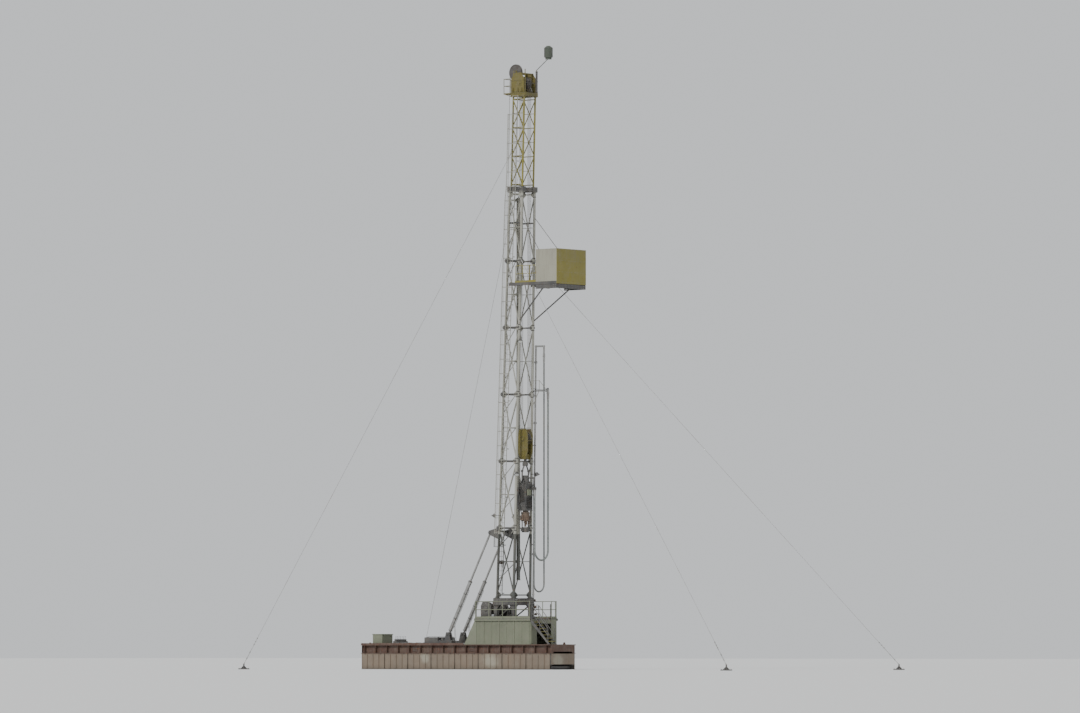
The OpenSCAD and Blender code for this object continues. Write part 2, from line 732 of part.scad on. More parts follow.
// Lines that the mast carries
module fast_line() color(steel) {
    rod([-fast_back - fast_r, fast_y, fast_axis_z], [drum_x + drum_r + line_dia / 2 + seat, fast_y, drum_z], line_dia);
}

module dead_line() color(steel) {
    z = (level(0) + level(1)) / 2;
    c = leg_at(-1, -1, z);
    rod([-line_r, -330, crown_axis_z + 60], c + [180, 150, 0], line_dia);
    pin_y(-line_r, -400, -230, crown_axis_z, 90);
    difference() {
        union() {
            pin_y(c[0] + 180, c[1] + 100, c[1] + 260, z - 50, 260);
            box([c[0], c[1], z - 110], [c[0] + 200, c[1] + 110, z + 10]);
        }
        mast_leg(-1, -1);
    }
}

guy_front_z = 25600;
guy_rear_z = 32400;
anchor_eye = 330;

module anchor_post(x, s) translate([x, s * guy_side, 60]) cylinder(r = 45, h = anchor_eye - 40);

module guys_front() color(steel) for (s = [-1, 1]) difference() {
    rod(leg_at(s, 1, guy_front_z), [guy_front, s * guy_side, anchor_eye], guy_dia);
    mast_leg(s, 1);
    anchor_post(guy_front, s);
}

module guys_rear() color(steel) for (s = [-1, 1]) difference() {
    rod(top_leg_at(s, -1, guy_rear_z), [-guy_rear, s * guy_side, anchor_eye], guy_dia);
    top_leg(s, -1);
    anchor_post(-guy_rear, s);
}

module guy_anchors() color(dark) for (s = [-1, 1]) for (x = [guy_front, -guy_rear]) {
    box([x - 250, s * guy_side - 250, 0], [x + 250, s * guy_side + 250, 60]);
    anchor_post(x, s);
}

// Hoses on the far side, each hanging in a vertical plane: down one leg, round a bend and up to the top drive
rotary_a = [350, 1400];
rotary_b = [340, 440];
rotary_top = 19600;
rotary_end_z = drive_top - 200;
rotary_bend_z = 5330;
rotary_d = 100;
loop_a = [560, 1540];
loop_b = [540, 270];
loop_top = 17300;
loop_end_z = drive_top - 450;
loop_bend_z = 7450;
loop_d = 118;

module hanging_hose(a, b, top, end_z, bend_z, d) {
    r = norm(b - a) / 2;
    translate([a[0], a[1], bend_z]) cylinder(d = d, h = top - bend_z);
    translate([b[0], b[1], bend_z]) cylinder(d = d, h = end_z - bend_z);
    translate([(a[0] + b[0]) / 2, (a[1] + b[1]) / 2, bend_z]) rotate([0, 0, atan2(b[1] - a[1], b[0] - a[0])])
        rotate([90, 0, 0]) rotate([0, 0, 180]) rotate_extrude(angle = 180, $fn = 64) translate([r, 0]) circle(d = d - 2 * seat);
}

module rotary_hose() color(rubber) hanging_hose(rotary_a, rotary_b, rotary_top, rotary_end_z, rotary_bend_z, rotary_d);
module service_loop() color(rubber) hanging_hose(loop_a, loop_b, loop_top, loop_end_z, loop_bend_z, loop_d);

// Travelling parts
module drill_lines() color(steel) for (y = sheave_ys) for (e = [-1, 1])
    rod([e * line_r, y, block_axis_z], [e * line_r, y, crown_axis_z], line_dia);

module block_frame() color(paint_yellow) {
    z0 = block_z;
    z1 = block_z + block_h;
    for (s = [-1, 1]) plate_xz(s * 225 - 20, 40, [
        [-200, z0], [200, z0], [400, z0 + 500], [400, z1 - 420], [260, z1], [-260, z1], [-400, z1 - 420], [-400, z0 + 500]
    ]);
    for (x = [-150, 110]) box([x, -205, z1 - 110], [x + 60, 205, z1 - 40]);
    box([-170, -205, z0 + 40], [170, 205, z0 + 340]);
    pin_y(0, -205, 205, block_axis_z, 130);
}

module block_sheaves() color(dark) for (y = sheave_ys) {
    sheave(0, y, block_axis_z, line_seat, line_r + 30, 84, 65);
}

module bail() color(dark) {
    z1 = block_z + 40;
    translate([0, 0, z1 - 340]) cylinder(r = 90, h = 340);
    translate([0, 0, z1 - 420]) cylinder(r = 170, h = 160);
    for (s = [-1, 1]) {
        bar([0, s * 60, z1 - 330], [0, s * link_y, z1 - 760], 90);
        bar([0, s * link_y, z1 - 760], [0, s * link_y, drive_top], 90);
    }
}

module top_drive() color(dark) {
    pipe = 100;
    top = drive_top;
    elbow = [rotary_b[0], rotary_b[1], top + 300];
    difference() {
        box([-300, -340, drive_bottom], [300, 340, top]);
        box([-400, -170, drive_bottom + 400], [-120, 170, top - 350]);
    }
    translate([0, 0, top]) cylinder(r = 190, h = 400);
    rod([100, 0, top + 300], elbow, pipe);
    rod(elbow, [rotary_b[0], rotary_b[1], rotary_end_z], pipe);
    translate(elbow) sphere(d = pipe * 1.35);
    translate([rotary_b[0], rotary_b[1], rotary_end_z]) cylinder(d = pipe * 1.4, h = 120);
    box([280, loop_b[1] - 80, loop_end_z], [loop_b[0] + 80, loop_b[1] + 80, loop_end_z + 160]);
}

module pipe_handler() color([0.42, 0.28, 0.20]) {
    z = drive_bottom - 650;
    translate([0, 0, z]) cylinder(r = 260, h = 560);
    translate([0, 0, z + 550]) cylinder(r = 150, h = 100);
    translate([0, 0, elevator_z + 350]) cylinder(r = 60, h = z + 10 - elevator_z - 350);
    for (s = [-1, 1]) box([-120, min(s * 200, s * (link_y + 50)), z + 50], [120, max(s * 200, s * (link_y + 50)), z + 350]);
}

module elevator() color(dark) {
    for (s = [-1, 1]) bar([0, s * link_y, elevator_z + 120], [0, s * link_y, drive_bottom - 600], 70);
    difference() {
        union() {
            translate([0, 0, elevator_z]) cylinder(r = 210, h = 320);
            box([-80, -340, elevator_z + 60], [80, 340, elevator_z + 230]);
        }
        translate([0, 0, elevator_z - 50]) cylinder(r = 75, h = 420);
    }
}

base_runners();
base_crossbeams();
base_beams();
base_deck();
base_panels_near();
base_panels_far();
base_panels_ends();
ram_base();
sub_frame();
floor_wall_near();
floor_wall_far();
floor_wall_rear();
floor_wall_front();
drill_floor();
rotary_table();
floor_rails();
stairs();
stair_rails();
drawworks_frame();
drawworks_drum();
mast_pedestal();
mast_near();
mast_far();
mast_back();
mast_collar();
top_near();
top_far();
top_back();
crown_frame();
crown_cheeks();
crown_sheaves();
fast_sheave();
beacon();
board_frame();
board_floor();
board_fingers();
board_wall_near();
board_wall_far();
board_wall_front();
standpipe();
ram_yoke();
ram_barrels();
ram_rods();
fast_line();
dead_line();
guys_front();
guys_rear();
guy_anchors();
rotary_hose();
service_loop();
drill_lines();
block_frame();
block_sheaves();
bail();
top_drive();
pipe_handler();
elevator();
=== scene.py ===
"""Dresses the guyed drilling rig: paint, rust and dirt on every solid, and its finer fittings."""
import json
import math
import random

import bmesh
import bpy
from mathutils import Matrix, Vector


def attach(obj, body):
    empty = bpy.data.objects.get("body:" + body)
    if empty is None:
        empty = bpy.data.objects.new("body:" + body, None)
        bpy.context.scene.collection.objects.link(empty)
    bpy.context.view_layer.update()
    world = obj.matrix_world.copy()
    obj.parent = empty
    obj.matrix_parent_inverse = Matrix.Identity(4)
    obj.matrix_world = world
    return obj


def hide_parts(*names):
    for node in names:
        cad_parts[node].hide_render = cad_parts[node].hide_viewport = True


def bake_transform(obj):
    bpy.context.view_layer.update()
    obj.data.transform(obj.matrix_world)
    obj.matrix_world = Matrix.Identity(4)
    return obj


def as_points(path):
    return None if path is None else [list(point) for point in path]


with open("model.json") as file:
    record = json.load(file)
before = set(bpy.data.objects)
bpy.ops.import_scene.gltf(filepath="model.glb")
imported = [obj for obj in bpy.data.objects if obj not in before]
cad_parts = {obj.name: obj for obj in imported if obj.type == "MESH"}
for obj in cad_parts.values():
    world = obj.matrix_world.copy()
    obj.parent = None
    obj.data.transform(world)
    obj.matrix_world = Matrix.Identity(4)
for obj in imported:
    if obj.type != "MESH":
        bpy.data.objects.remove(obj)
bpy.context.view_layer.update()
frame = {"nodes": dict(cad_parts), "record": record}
nodes = frame["nodes"]
RIG = "rig"
BLOCK = "travelling_block"
SIDES = (-1, 1)
CORNERS = [(side, end) for side in SIDES for end in SIDES]
ALONG, ACROSS, UP = Vector((1, 0, 0)), Vector((0, 1, 0)), Vector((0, 0, 1))
OUT = {side: ACROSS * side for side in SIDES}
AHEAD = {end: ALONG * end for end in SIDES}

# Sizes shared with the solids, in metres
BASE_REAR, BASE_FRONT = 12.6, 3.05
SIDE_Y = 1.25
DECK_Z = 1.56
FLOOR_Z = 3.16
FLOOR_REAR, FLOOR_FRONT, FLOOR_HALF = 3.05, 1.5, 1.35
SUB_REAR_LOW = 3.95
WALL = 0.03
FOOT_Z, FOOT_X, FOOT_W, FOOT_D = 4.45, -0.95, 1.6, 1.34
LEAN = math.radians(1.58)
COLLAR_Z, COLLAR_W, COLLAR_D, COLLAR_H = 30.0, 1.2, 1.0, 0.3
TOP_W, TOP_D = 1.06, 0.9
CROWN_Z = 35.8
LEG = 0.17
BAYS, TOP_BAYS = 6, 3
BOARD_Z, BOARD_T = 23.9, 0.18
BOARD_FRONT, BOARD_HALF = 3.75, 1.415
BOARD_WALL_L, BOARD_WALL_H = 1.7, 2.05
BLOCK_Z, BLOCK_H = 13.1, 1.9
LINE_R, LINE_D = 0.33, 0.028
CROWN_AXIS = CROWN_Z + 0.85
BLOCK_AXIS = BLOCK_Z + BLOCK_H - 0.62
SHEAVES = (-0.15, -0.05, 0.05, 0.15)
DRIVE_TOP = BLOCK_Z - 1.45
DRIVE_BOTTOM = DRIVE_TOP - 1.75
ELEVATOR_Z = 8.55
GUY_FRONT, GUY_REAR, GUY_SIDE, GUY_D = 22.7, 16.0, 8.5, 0.024
GUY_FRONT_Z, GUY_REAR_Z, EYE_Z = 25.6, 32.4, 0.33
RAM_TOP, RAM_FOOT, RAM_Y = Vector((-2.25, 0, 8.55)), Vector((-5.7, 0, 2.2)), 0.7
DRUM, DRUM_R = Vector((-2.5, 0, FLOOR_Z + 0.62)), 0.3
FAST = Vector((-0.94, 0.2, CROWN_Z + 1.6))
FAST_R = 0.48


def axis_x(z):
    return FOOT_X + (z - FOOT_Z) * math.tan(LEAN)


def half_at(foot, collar, z):
    return (foot + (collar - foot) * (z - FOOT_Z) / (COLLAR_Z - FOOT_Z)) / 2


def half_w(z):
    return half_at(FOOT_W, COLLAR_W, z)


def half_d(z):
    return half_at(FOOT_D, COLLAR_D, z)


def leg_at(side, end, z):
    return Vector((axis_x(z) + end * half_d(z), side * half_w(z), z))


def top_leg_at(side, end, z):
    return Vector((axis_x(z) + end * TOP_D / 2, side * TOP_W / 2, z))


def level(i):
    return FOOT_Z + 0.2 + (COLLAR_Z - COLLAR_H / 2 - FOOT_Z - 0.35) * i / BAYS


def top_level(i):
    start = COLLAR_Z + COLLAR_H / 2
    return start + 0.15 + (CROWN_Z - start - 0.3) * i / TOP_BAYS


def row(start, step, count):
    return [start + step * k for k in range(count)]


def vec(x, y, z):
    return Vector((x, y, z))


def moved(base, points):
    """Points given as steps from a base point."""
    return [Vector(base) + Vector(p) for p in points]


def each(values):
    return values if isinstance(values, (list, tuple)) else (values,)


def grid(way, xs, ys, zs, *more):
    """Places at every mix of the X, Y and Z given, all facing one way."""
    return [((x, y, z), way, *more) for x in each(xs) for y in each(ys) for z in each(zs)]


def circle(centre, side, other, radius, count, start=0.0):
    """Points evenly round a circle that two crossing ways span."""
    turns = row(start, 2 * math.pi / count, count)
    return [Vector(centre) + (side * math.cos(t) + other * math.sin(t)) * radius for t in turns]


def round_about(centre, way, radius, count, start=0.0):
    """Points evenly round a circle that faces along X, Y or Z."""
    a, b = ((ACROSS, UP), (ALONG, UP), (ALONG, ACROSS))[max(range(3), key=lambda i: abs(way[i]))]
    return circle(centre, a, b, radius, count, start)


def bolt_ring(centre, way, radius, count, start=0.0):
    return [(p, way) for p in round_about(centre, way, radius, count, start)]


def flange_bolts(centre, heights, radius, count):
    """Bolts round upright flanges, facing up and down by turns from one height to the next."""
    rings = [bolt_ring(Vector(centre) + UP * h, UP, radius, count) for h in heights]
    return [(p, -way if k % 2 else way) for faces in zip(*rings) for k, (p, way) in enumerate(faces)]


def between(p, q):
    """A bar's place, from its two ends."""
    p, q = Vector(p), Vector(q)
    return ((p + q) / 2, q - p, (q - p).length)


# Plain mesh work: shapes are gathered as points and faces, then made one piece
class Shape:
    def __init__(self):
        self.points = []
        self.faces = []

    def add(self, points, faces):
        start = len(self.points)
        self.points += [tuple(p) for p in points]
        self.faces += [[start + i for i in face] for face in faces]

    def box(self, a, b):
        x, y, z = ((min(a[i], b[i]), max(a[i], b[i])) for i in range(3))
        self.add([(x[i], y[j], z[k]) for k in (0, 1) for i, j in ((0, 0), (1, 0), (1, 1), (0, 1))],
                 [(3, 2, 1, 0), (4, 5, 6, 7), (0, 1, 5, 4), (1, 2, 6, 5), (2, 3, 7, 6), (3, 0, 4, 7)])

    def block(self, x, y, z, size_x, size_y, low, high):
        """An upright box on its middle in plan, with half sizes, from low to high above z."""
        self.box((x - size_x, y - size_y, z + low), (x + size_x, y + size_y, z + high))

    def cube(self, middle, half):
        """A box on its middle, with half sizes."""
        self.box(Vector(middle) - Vector(half), Vector(middle) + Vector(half))

    def tube(self, path, radius, sides=12, closed=False):
        """A round tube along a path; radius is one number, or one for each point."""
        path = [Vector(p) for p in path]
        radii = radius if isinstance(radius, (list, tuple)) else [radius] * len(path)
        rings = []
        side = None
        n = len(path)
        for i, p in enumerate(path):
            ahead = path[(i + 1) % n] if closed else path[min(i + 1, n - 1)]
            behind = path[i - 1] if closed else path[max(i - 1, 0)]
            way = (ahead - behind).normalized()
            if side is None:
                side = way.orthogonal().normalized()
            side = (side - way * side.dot(way)).normalized()
            rings.append(circle(p, side, way.cross(side), radii[i], sides))
        faces = []
        for i in range(n if closed else n - 1):
            j = (i + 1) % n
            for k in range(sides):
                m = (k + 1) % sides
                faces.append((i * sides + k, i * sides + m, j * sides + m, j * sides + k))
        if not closed:
            faces += [tuple(reversed(range(sides))), tuple(range((n - 1) * sides, n * sides))]
        self.add([p for ring in rings for p in ring], faces)

    def bar(self, p, q, d, sides=8):
        self.tube([p, q], d / 2, sides)

    def turned(self, centre, way, profile, sides=24):
        """A solid turned about a line from centre: the profile gives distance along it and radius."""
        centre, way = Vector(centre), Vector(way).normalized()
        self.tube([centre + way * s for s, r in profile], [r for s, r in profile], sides)

    def band(self, centre, way, half, low, high, ease=0.005, sides=24):
        """A ring plate with eased edges round something."""
        self.turned(centre, way, [(-half, low), (ease - half, high), (half - ease, high), (half, low)], sides)

    def hoop(self, centre, way, radius, thick, turns=32, sides=8):
        way = Vector(way).normalized()
        side = way.orthogonal().normalized()
        self.tube(circle(centre, side, way.cross(side), radius, turns), thick / 2, sides, closed=True)

    def plate(self, outline, thick):
        """A flat plate from its outline, made thick along the vector given."""
        n = len(outline)
        move = Vector(thick)
        near = [Vector(p) for p in outline]
        self.add(near + [p + move for p in near],
                 [tuple(reversed(range(n))), tuple(range(n, 2 * n))]
                 + [(i, (i + 1) % n, n + (i + 1) % n, n + i) for i in range(n)])

    def side_plate(self, y, outline, thick):
        """A plate in a plane across the rig, from its x and z."""
        self.plate([(x, y, z) for x, z in outline], (0, thick, 0))

    def fins(self, centre, outline, half, count=4, start=0.785):
        """Upright plates round a post, from distances out and up, with half their thickness."""
        for t in row(start, 2 * math.pi / count, count):
            out, across = vec(math.cos(t), math.sin(t), 0), vec(-math.sin(t), math.cos(t), 0) * half
            self.plate([centre + out * r + UP * h - across for r, h in outline], across * 2)

    def piece(self, name, slot, body=RIG, coat=None, bevel=0.0, smooth=35):
        mesh = bpy.data.meshes.new(name)
        mesh.from_pydata(self.points, [], self.faces)
        return finished(name, mesh, slot, body, coat, bevel, smooth)


def placed(name, data):
    item = bpy.data.objects.new(name, data)
    bpy.context.collection.objects.link(item)
    return item


def finished(name, mesh, slot, body=RIG, coat=None, bevel=0.0, smooth=35):
    """A mesh made into a piece: faces outwards, edges eased, paint on, riding on its body."""
    work = bmesh.new()
    work.from_mesh(mesh)
    bmesh.ops.recalc_face_normals(work, faces=work.faces)
    work.to_mesh(mesh)
    work.free()
    mesh.shade_smooth()
    mesh.set_sharp_from_angle(angle=math.radians(smooth))
    piece = placed(name, mesh)
    mesh.materials.clear()
    mesh.materials.append(materials[coat or slot])
    if bevel:
        edge = piece.modifiers.new("eased_edges", "BEVEL")
        edge.width = bevel
        edge.segments = 1
        edge.limit_method = "ANGLE"
        edge.angle_limit = math.radians(40)
    if body:
        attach(piece, body)
    return piece


# Node work shared by materials and geometry trees
def put(tree, kind, sockets=None, **settings):
    node = tree.nodes.new(kind)
    for key, value in settings.items():
        setattr(node, key, value)
    for key, value in (sockets or {}).items():
        if isinstance(value, bpy.types.NodeSocket):
            tree.links.new(value, node.inputs[key])
        else:
            node.inputs[key].default_value = value
    return node


def first(tree, kind, sockets=None, **settings):
    return put(tree, kind, sockets, **settings).outputs[0]


def sum_of(tree, operation, *values):
    """One step of arithmetic on sockets and numbers."""
    return first(tree, "ShaderNodeMath", dict(enumerate(values)), operation=operation)


def times(tree, value, factor):
    return sum_of(tree, "MULTIPLY", value, factor)


def live(node, name):
    return next(socket for socket in node.outputs if socket.enabled and socket.name == name)


def open_tree(name, sizes):
    """A geometry tree with one named input for each size."""
    tree = bpy.data.node_groups.new(name, "GeometryNodeTree")
    tree.interface.new_socket("Places", in_out="INPUT", socket_type="NodeSocketGeometry")
    for label, value in sizes.items():
        kind = "NodeSocketInt" if isinstance(value, int) else "NodeSocketFloat"
        tree.interface.new_socket(label, in_out="INPUT", socket_type=kind).default_value = value
    tree.interface.new_socket("Finish", in_out="INPUT", socket_type="NodeSocketMaterial")
    tree.interface.new_socket("Made", in_out="OUTPUT", socket_type="NodeSocketGeometry")
    return tree, put(tree, "NodeGroupInput").outputs


def close_tree(tree, given, geometry):
    real = first(tree, "GeometryNodeRealizeInstances", {"Geometry": geometry})
    painted = first(tree, "GeometryNodeSetMaterial", {"Geometry": real, "Material": given["Finish"]})
    put(tree, "NodeGroupOutput", {"Made": painted})
    return tree


def vector_of(tree, x=0.0, y=0.0, z=0.0):
    return first(tree, "ShaderNodeCombineXYZ", {"X": x, "Y": y, "Z": z})


def attribute_of(tree, name, kind):
    return live(put(tree, "GeometryNodeInputNamedAttribute", {"Name": name}, data_type=kind), "Attribute")


def turned_to_way(tree):
    """The turn that sets a shape's own Z on each place's way, and its X on the place's face."""
    way, face = attribute_of(tree, "way", "FLOAT_VECTOR"), attribute_of(tree, "face", "FLOAT_VECTOR")
    upright = first(tree, "FunctionNodeAlignRotationToVector", {"Vector": way}, axis="Z")
    sockets = {"Rotation": upright, "Vector": face}
    return first(tree, "FunctionNodeAlignRotationToVector", sockets, axis="X", pivot_axis="Z")


def twisted(tree, rotation, angle):
    own = first(tree, "FunctionNodeEulerToRotation", {0: vector_of(tree, z=angle)})
    sockets = {"Rotation": rotation, "Rotate By": own}
    return first(tree, "FunctionNodeRotateRotation", sockets, rotation_space="LOCAL")


def set_out(tree, points, shape, rotation, **more):
    sockets = {"Points": points, "Instance": shape, "Rotation": rotation, **more}
    return first(tree, "GeometryNodeInstanceOnPoints", sockets)


def skinned(tree, curve, profile, **more):
    return first(tree, "GeometryNodeCurveToMesh", {"Curve": curve, "Profile Curve": profile, **more})


def circle_of(tree, width, resolution):
    sockets = {"Resolution": resolution, "Radius": times(tree, width, 0.5)}
    return first(tree, "GeometryNodeCurvePrimitiveCircle", sockets)


def rod_of(tree, width, height, vertices):
    sockets = {"Vertices": vertices, "Radius": times(tree, width, 0.5), "Depth": height}
    return first(tree, "GeometryNodeMeshCylinder", sockets)


def bolt_tree():
    """A bolt head on a washer at each place, each turned its own way."""
    tree, given = open_tree("bolt_heads", {"Width": 0.03, "Height": 0.02, "Washer": 0.046, "Seed": 5})
    head = rod_of(tree, given["Width"], given["Height"], 6)
    washer = rod_of(tree, given["Washer"], times(tree, given["Height"], 0.3), 12)
    rise = vector_of(tree, z=times(tree, given["Height"], 0.5))
    lifted = first(tree, "GeometryNodeTransform", {"Geometry": head, "Translation": rise})
    both = put(tree, "GeometryNodeJoinGeometry")
    tree.links.new(lifted, both.inputs[0])
    tree.links.new(washer, both.inputs[0])
    spin = live(put(tree, "FunctionNodeRandomValue", {"Seed": given["Seed"]}, data_type="FLOAT"), "Value")
    turn = twisted(tree, turned_to_way(tree), spin)
    return close_tree(tree, given, set_out(tree, given["Places"], both.outputs[0], turn))


def bar_tree(name, round_sides):
    """A bar at each place, as long as the place says, along the place's way."""
    tree, given = open_tree(name, {"Width": 0.03, "Depth": 0.03})
    if round_sides:
        shape = rod_of(tree, given["Width"], 1.0, round_sides)
    else:
        size = vector_of(tree, given["Width"], given["Depth"], 1.0)
        shape = first(tree, "GeometryNodeMeshCube", {"Size": size})
    long = vector_of(tree, 1.0, 1.0, attribute_of(tree, "long", "FLOAT"))
    return close_tree(tree, given, set_out(tree, given["Places"], shape, turned_to_way(tree), Scale=long))


def rope_tree():
    """Laid wire rope along each line of places."""
    tree, given = open_tree("laid_rope", {"Width": 0.028, "Strands": 6, "Lay": 0.2})
    line = first(tree, "GeometryNodeMeshToCurve", {"Mesh": given["Places"]})
    step = times(tree, given["Lay"], 0.25)
    even = first(tree, "GeometryNodeResampleCurve", {"Curve": line, "Length": step}, mode="LENGTH")
    along = put(tree, "GeometryNodeSplineParameter").outputs["Length"]
    turns = times(tree, sum_of(tree, "DIVIDE", along, given["Lay"]), 2 * math.pi)
    tilted = first(tree, "GeometryNodeSetCurveTilt", {"Curve": even, "Tilt": turns})
    inner, outer = times(tree, given["Width"], 0.4), times(tree, given["Width"], 0.5)
    sockets = {"Points": given["Strands"], "Inner Radius": inner, "Outer Radius": outer}
    lobes = put(tree, "GeometryNodeCurveStar", sockets)
    return close_tree(tree, given, skinned(tree, tilted, lobes.outputs["Curve"], **{"Fill Caps": True}))


def wrap_tree():
    """Rope laid side by side round a drum that lies along Y, from each place."""
    tree, given = open_tree("rope_wraps", {"Width": 0.028, "Radius": 0.31, "Turns": 20.0, "Span": 0.6})
    coil = first(tree, "GeometryNodeCurveSpiral",
                 {"Resolution": 28, "Rotations": given["Turns"], "Start Radius": given["Radius"],
                  "End Radius": given["Radius"], "Height": given["Span"]})
    skin = skinned(tree, coil, circle_of(tree, given["Width"], 8), **{"Fill Caps": True})
    return close_tree(tree, given, set_out(tree, given["Places"], skin, turned_to_way(tree)))


def chain_tree():
    """Chain links along each line of places, every other one turned a quarter."""
    tree, given = open_tree("chain_links", {"Link": 0.06, "Width": 0.012})
    line = first(tree, "GeometryNodeMeshToCurve", {"Mesh": given["Places"]})
    step = times(tree, given["Link"], 0.72)
    even = put(tree, "GeometryNodeCurveToPoints", {"Curve": line, "Length": step}, mode="LENGTH")
    loop = circle_of(tree, given["Link"], 12)
    sockets = {"Geometry": loop, "Rotation": (math.pi / 2, 0, 0), "Scale": (0.62, 1, 1)}
    oval = first(tree, "GeometryNodeTransform", sockets)
    link = skinned(tree, oval, circle_of(tree, given["Width"], 6))
    odd = sum_of(tree, "MODULO", first(tree, "GeometryNodeInputIndex"), 2.0)
    turn = twisted(tree, even.outputs["Rotation"], times(tree, odd, math.pi / 2))
    return close_tree(tree, given, set_out(tree, even.outputs[0], link, turn))


BOLTS = bolt_tree()
FLATS = bar_tree("flat_bars", 0)
RODS = bar_tree("round_bars", 8)
ROPE = rope_tree()
WRAPS = wrap_tree()
CHAIN = chain_tree()


def grown(name, tree, mesh, sizes, slot, body=RIG, coat=None, smooth=35):
    """The tree's result on these places, turned into a plain piece."""
    maker = placed(name + "_places", mesh)
    growth = maker.modifiers.new("growth", "NODES")
    growth.node_group = tree
    sizes = {**sizes, "Finish": materials[coat or slot]}
    for item in tree.interface.items_tree:
        if item.in_out == "INPUT" and item.name in sizes:
            growth[item.identifier] = sizes[item.name]
    bpy.context.view_layer.update()
    seen = maker.evaluated_get(bpy.context.evaluated_depsgraph_get())
    made = bpy.data.meshes.new_from_object(seen)
    made.name = name
    maker.modifiers.clear()
    bpy.data.objects.remove(maker)
    for extra in ("way", "face", "long"):
        if extra in made.attributes:
            made.attributes.remove(made.attributes[extra])
    return finished(name, made, slot, body, coat, 0.0, smooth)


def at_places(name, tree, places, sizes, slot, body=RIG, coat=None):
    """places: (point, way) or (point, way, length) or (point, way, length, face)."""
    mesh = bpy.data.meshes.new(name)
    mesh.from_pydata([tuple(p[0]) for p in places], [], [])
    ways, faces, lengths = [], [], []
    for place in places:
        along = Vector(place[1]).normalized()
        ways += [*along]
        faces += [*(Vector(place[3]) if len(place) > 3 else along.orthogonal())]
        lengths.append(place[2] if len(place) > 2 else 1.0)
    for label, values in (("way", ways), ("face", faces)):
        mesh.attributes.new(label, "FLOAT_VECTOR", "POINT").data.foreach_set("vector", values)
    mesh.attributes.new("long", "FLOAT", "POINT").data.foreach_set("value", lengths)
    return grown(name, tree, mesh, sizes, slot, body, coat)


def bolt_heads(name, places, width, height, washer, seed, slot="bare_steel", body=RIG):
    sizes = {"Width": width, "Height": height, "Washer": washer, "Seed": seed}
    at_places(name, BOLTS, places, sizes, slot, body)


def flat_bars(name, places, width, depth, slot, body=RIG, coat=None):
    at_places(name, FLATS, places, {"Width": width, "Depth": depth}, slot, body, coat)


def round_bars(name, places, width, slot, coat=None):
    at_places(name, RODS, places, {"Width": width}, slot, RIG, coat)


def along_lines(name, tree, lines, sizes, slot, body=RIG, coat=None, smooth=50):
    """lines: each a list of points."""
    points, edges = [], []
    for line in lines:
        start = len(points)
        points += [tuple(p) for p in line]
        edges += [(start + i, start + i + 1) for i in range(len(line) - 1)]
    mesh = bpy.data.meshes.new(name)
    mesh.from_pydata(points, edges, [])
    return grown(name, tree, mesh, sizes, slot, body, coat, smooth)


# Camera at the photograph's angle: level with the ground, forty degrees round from the side
def place_camera():
    camera = placed("camera", bpy.data.cameras.new("camera"))
    azimuth, distance, target = math.radians(40), 400.0, vec(1.2, 0, 19.5)
    place = vec(target.x + math.sin(azimuth) * distance, target.y - math.cos(azimuth) * distance, 1.2)
    camera.location = place
    camera.rotation_euler = (target - place).to_track_quat("-Z", "Y").to_euler()
    camera.data.lens = 214
    camera.data.clip_end = 2000
    bpy.context.scene.camera = camera


place_camera()


# Materials
def ramp_node(tree, source, low, high, dark=0.0, light=1.0):
    ramp = put(tree, "ShaderNodeValToRGB", {"Fac": source})
    for stop, place, tone in zip(ramp.color_ramp.elements, (low, high), (dark, light)):
        stop.position = place
        stop.color = (tone, tone, tone, 1)
    return ramp.outputs["Color"]


def noise_node(tree, vector, scale, detail=4.0, rough=0.55):
    sockets = {"Scale": scale, "Detail": detail, "Roughness": rough, "Vector": vector}
    return put(tree, "ShaderNodeTexNoise", sockets).outputs["Fac"]


def cloud(tree, place, noise, *ramp):
    """Soft patches: a noise of the scale, detail and roughness given, cut by a ramp."""
    return ramp_node(tree, noise_node(tree, place, *noise), *ramp)


def mix_colour(tree, factor, a, b):
    a, b = ((*value, 1) if isinstance(value, tuple) else value for value in (a, b))
    return put(tree, "ShaderNodeMix", {"Factor": factor, 6: a, 7: b}, data_type="RGBA").outputs[2]


def blank(name):
    material = bpy.data.materials.new(name)
    material.use_nodes = True
    tree = material.node_tree
    tree.nodes.clear()
    shader = put(tree, "ShaderNodeBsdfPrincipled")
    put(tree, "ShaderNodeOutputMaterial", {"Surface": shader.outputs["BSDF"]})
    place = put(tree, "ShaderNodeTexCoord").outputs["Object"]
    return material, tree, shader, place


def spread(tree, source, low, high, at_low, at_high):
    sockets = {0: source, 1: low, 2: high, 3: at_low, 4: at_high}
    return first(tree, "ShaderNodeMapRange", sockets, interpolation_type="SMOOTHSTEP")


def by_height(tree, place, low, high, at_low, at_high, wander=0.0):
    """Changes with height above the ground, on a line that wanders a little."""
    z = put(tree, "ShaderNodeSeparateXYZ", {0: place}).outputs[2]
    if wander:
        z = sum_of(tree, "ADD", z, times(tree, noise_node(tree, place, 3.0, 6.0), wander))
    return spread(tree, z, low, high, at_low, at_high)


def finish_with(tree, shader, base, roughness, height=None, strength=0.0, distance=0.0):
    tree.links.new(base, shader.inputs["Base Color"])
    tree.links.new(roughness, shader.inputs["Roughness"])
    if height:
        bump = first(tree, "ShaderNodeBump", {"Strength": strength, "Distance": distance, "Height": height})
        tree.links.new(bump, shader.inputs["Normal"])


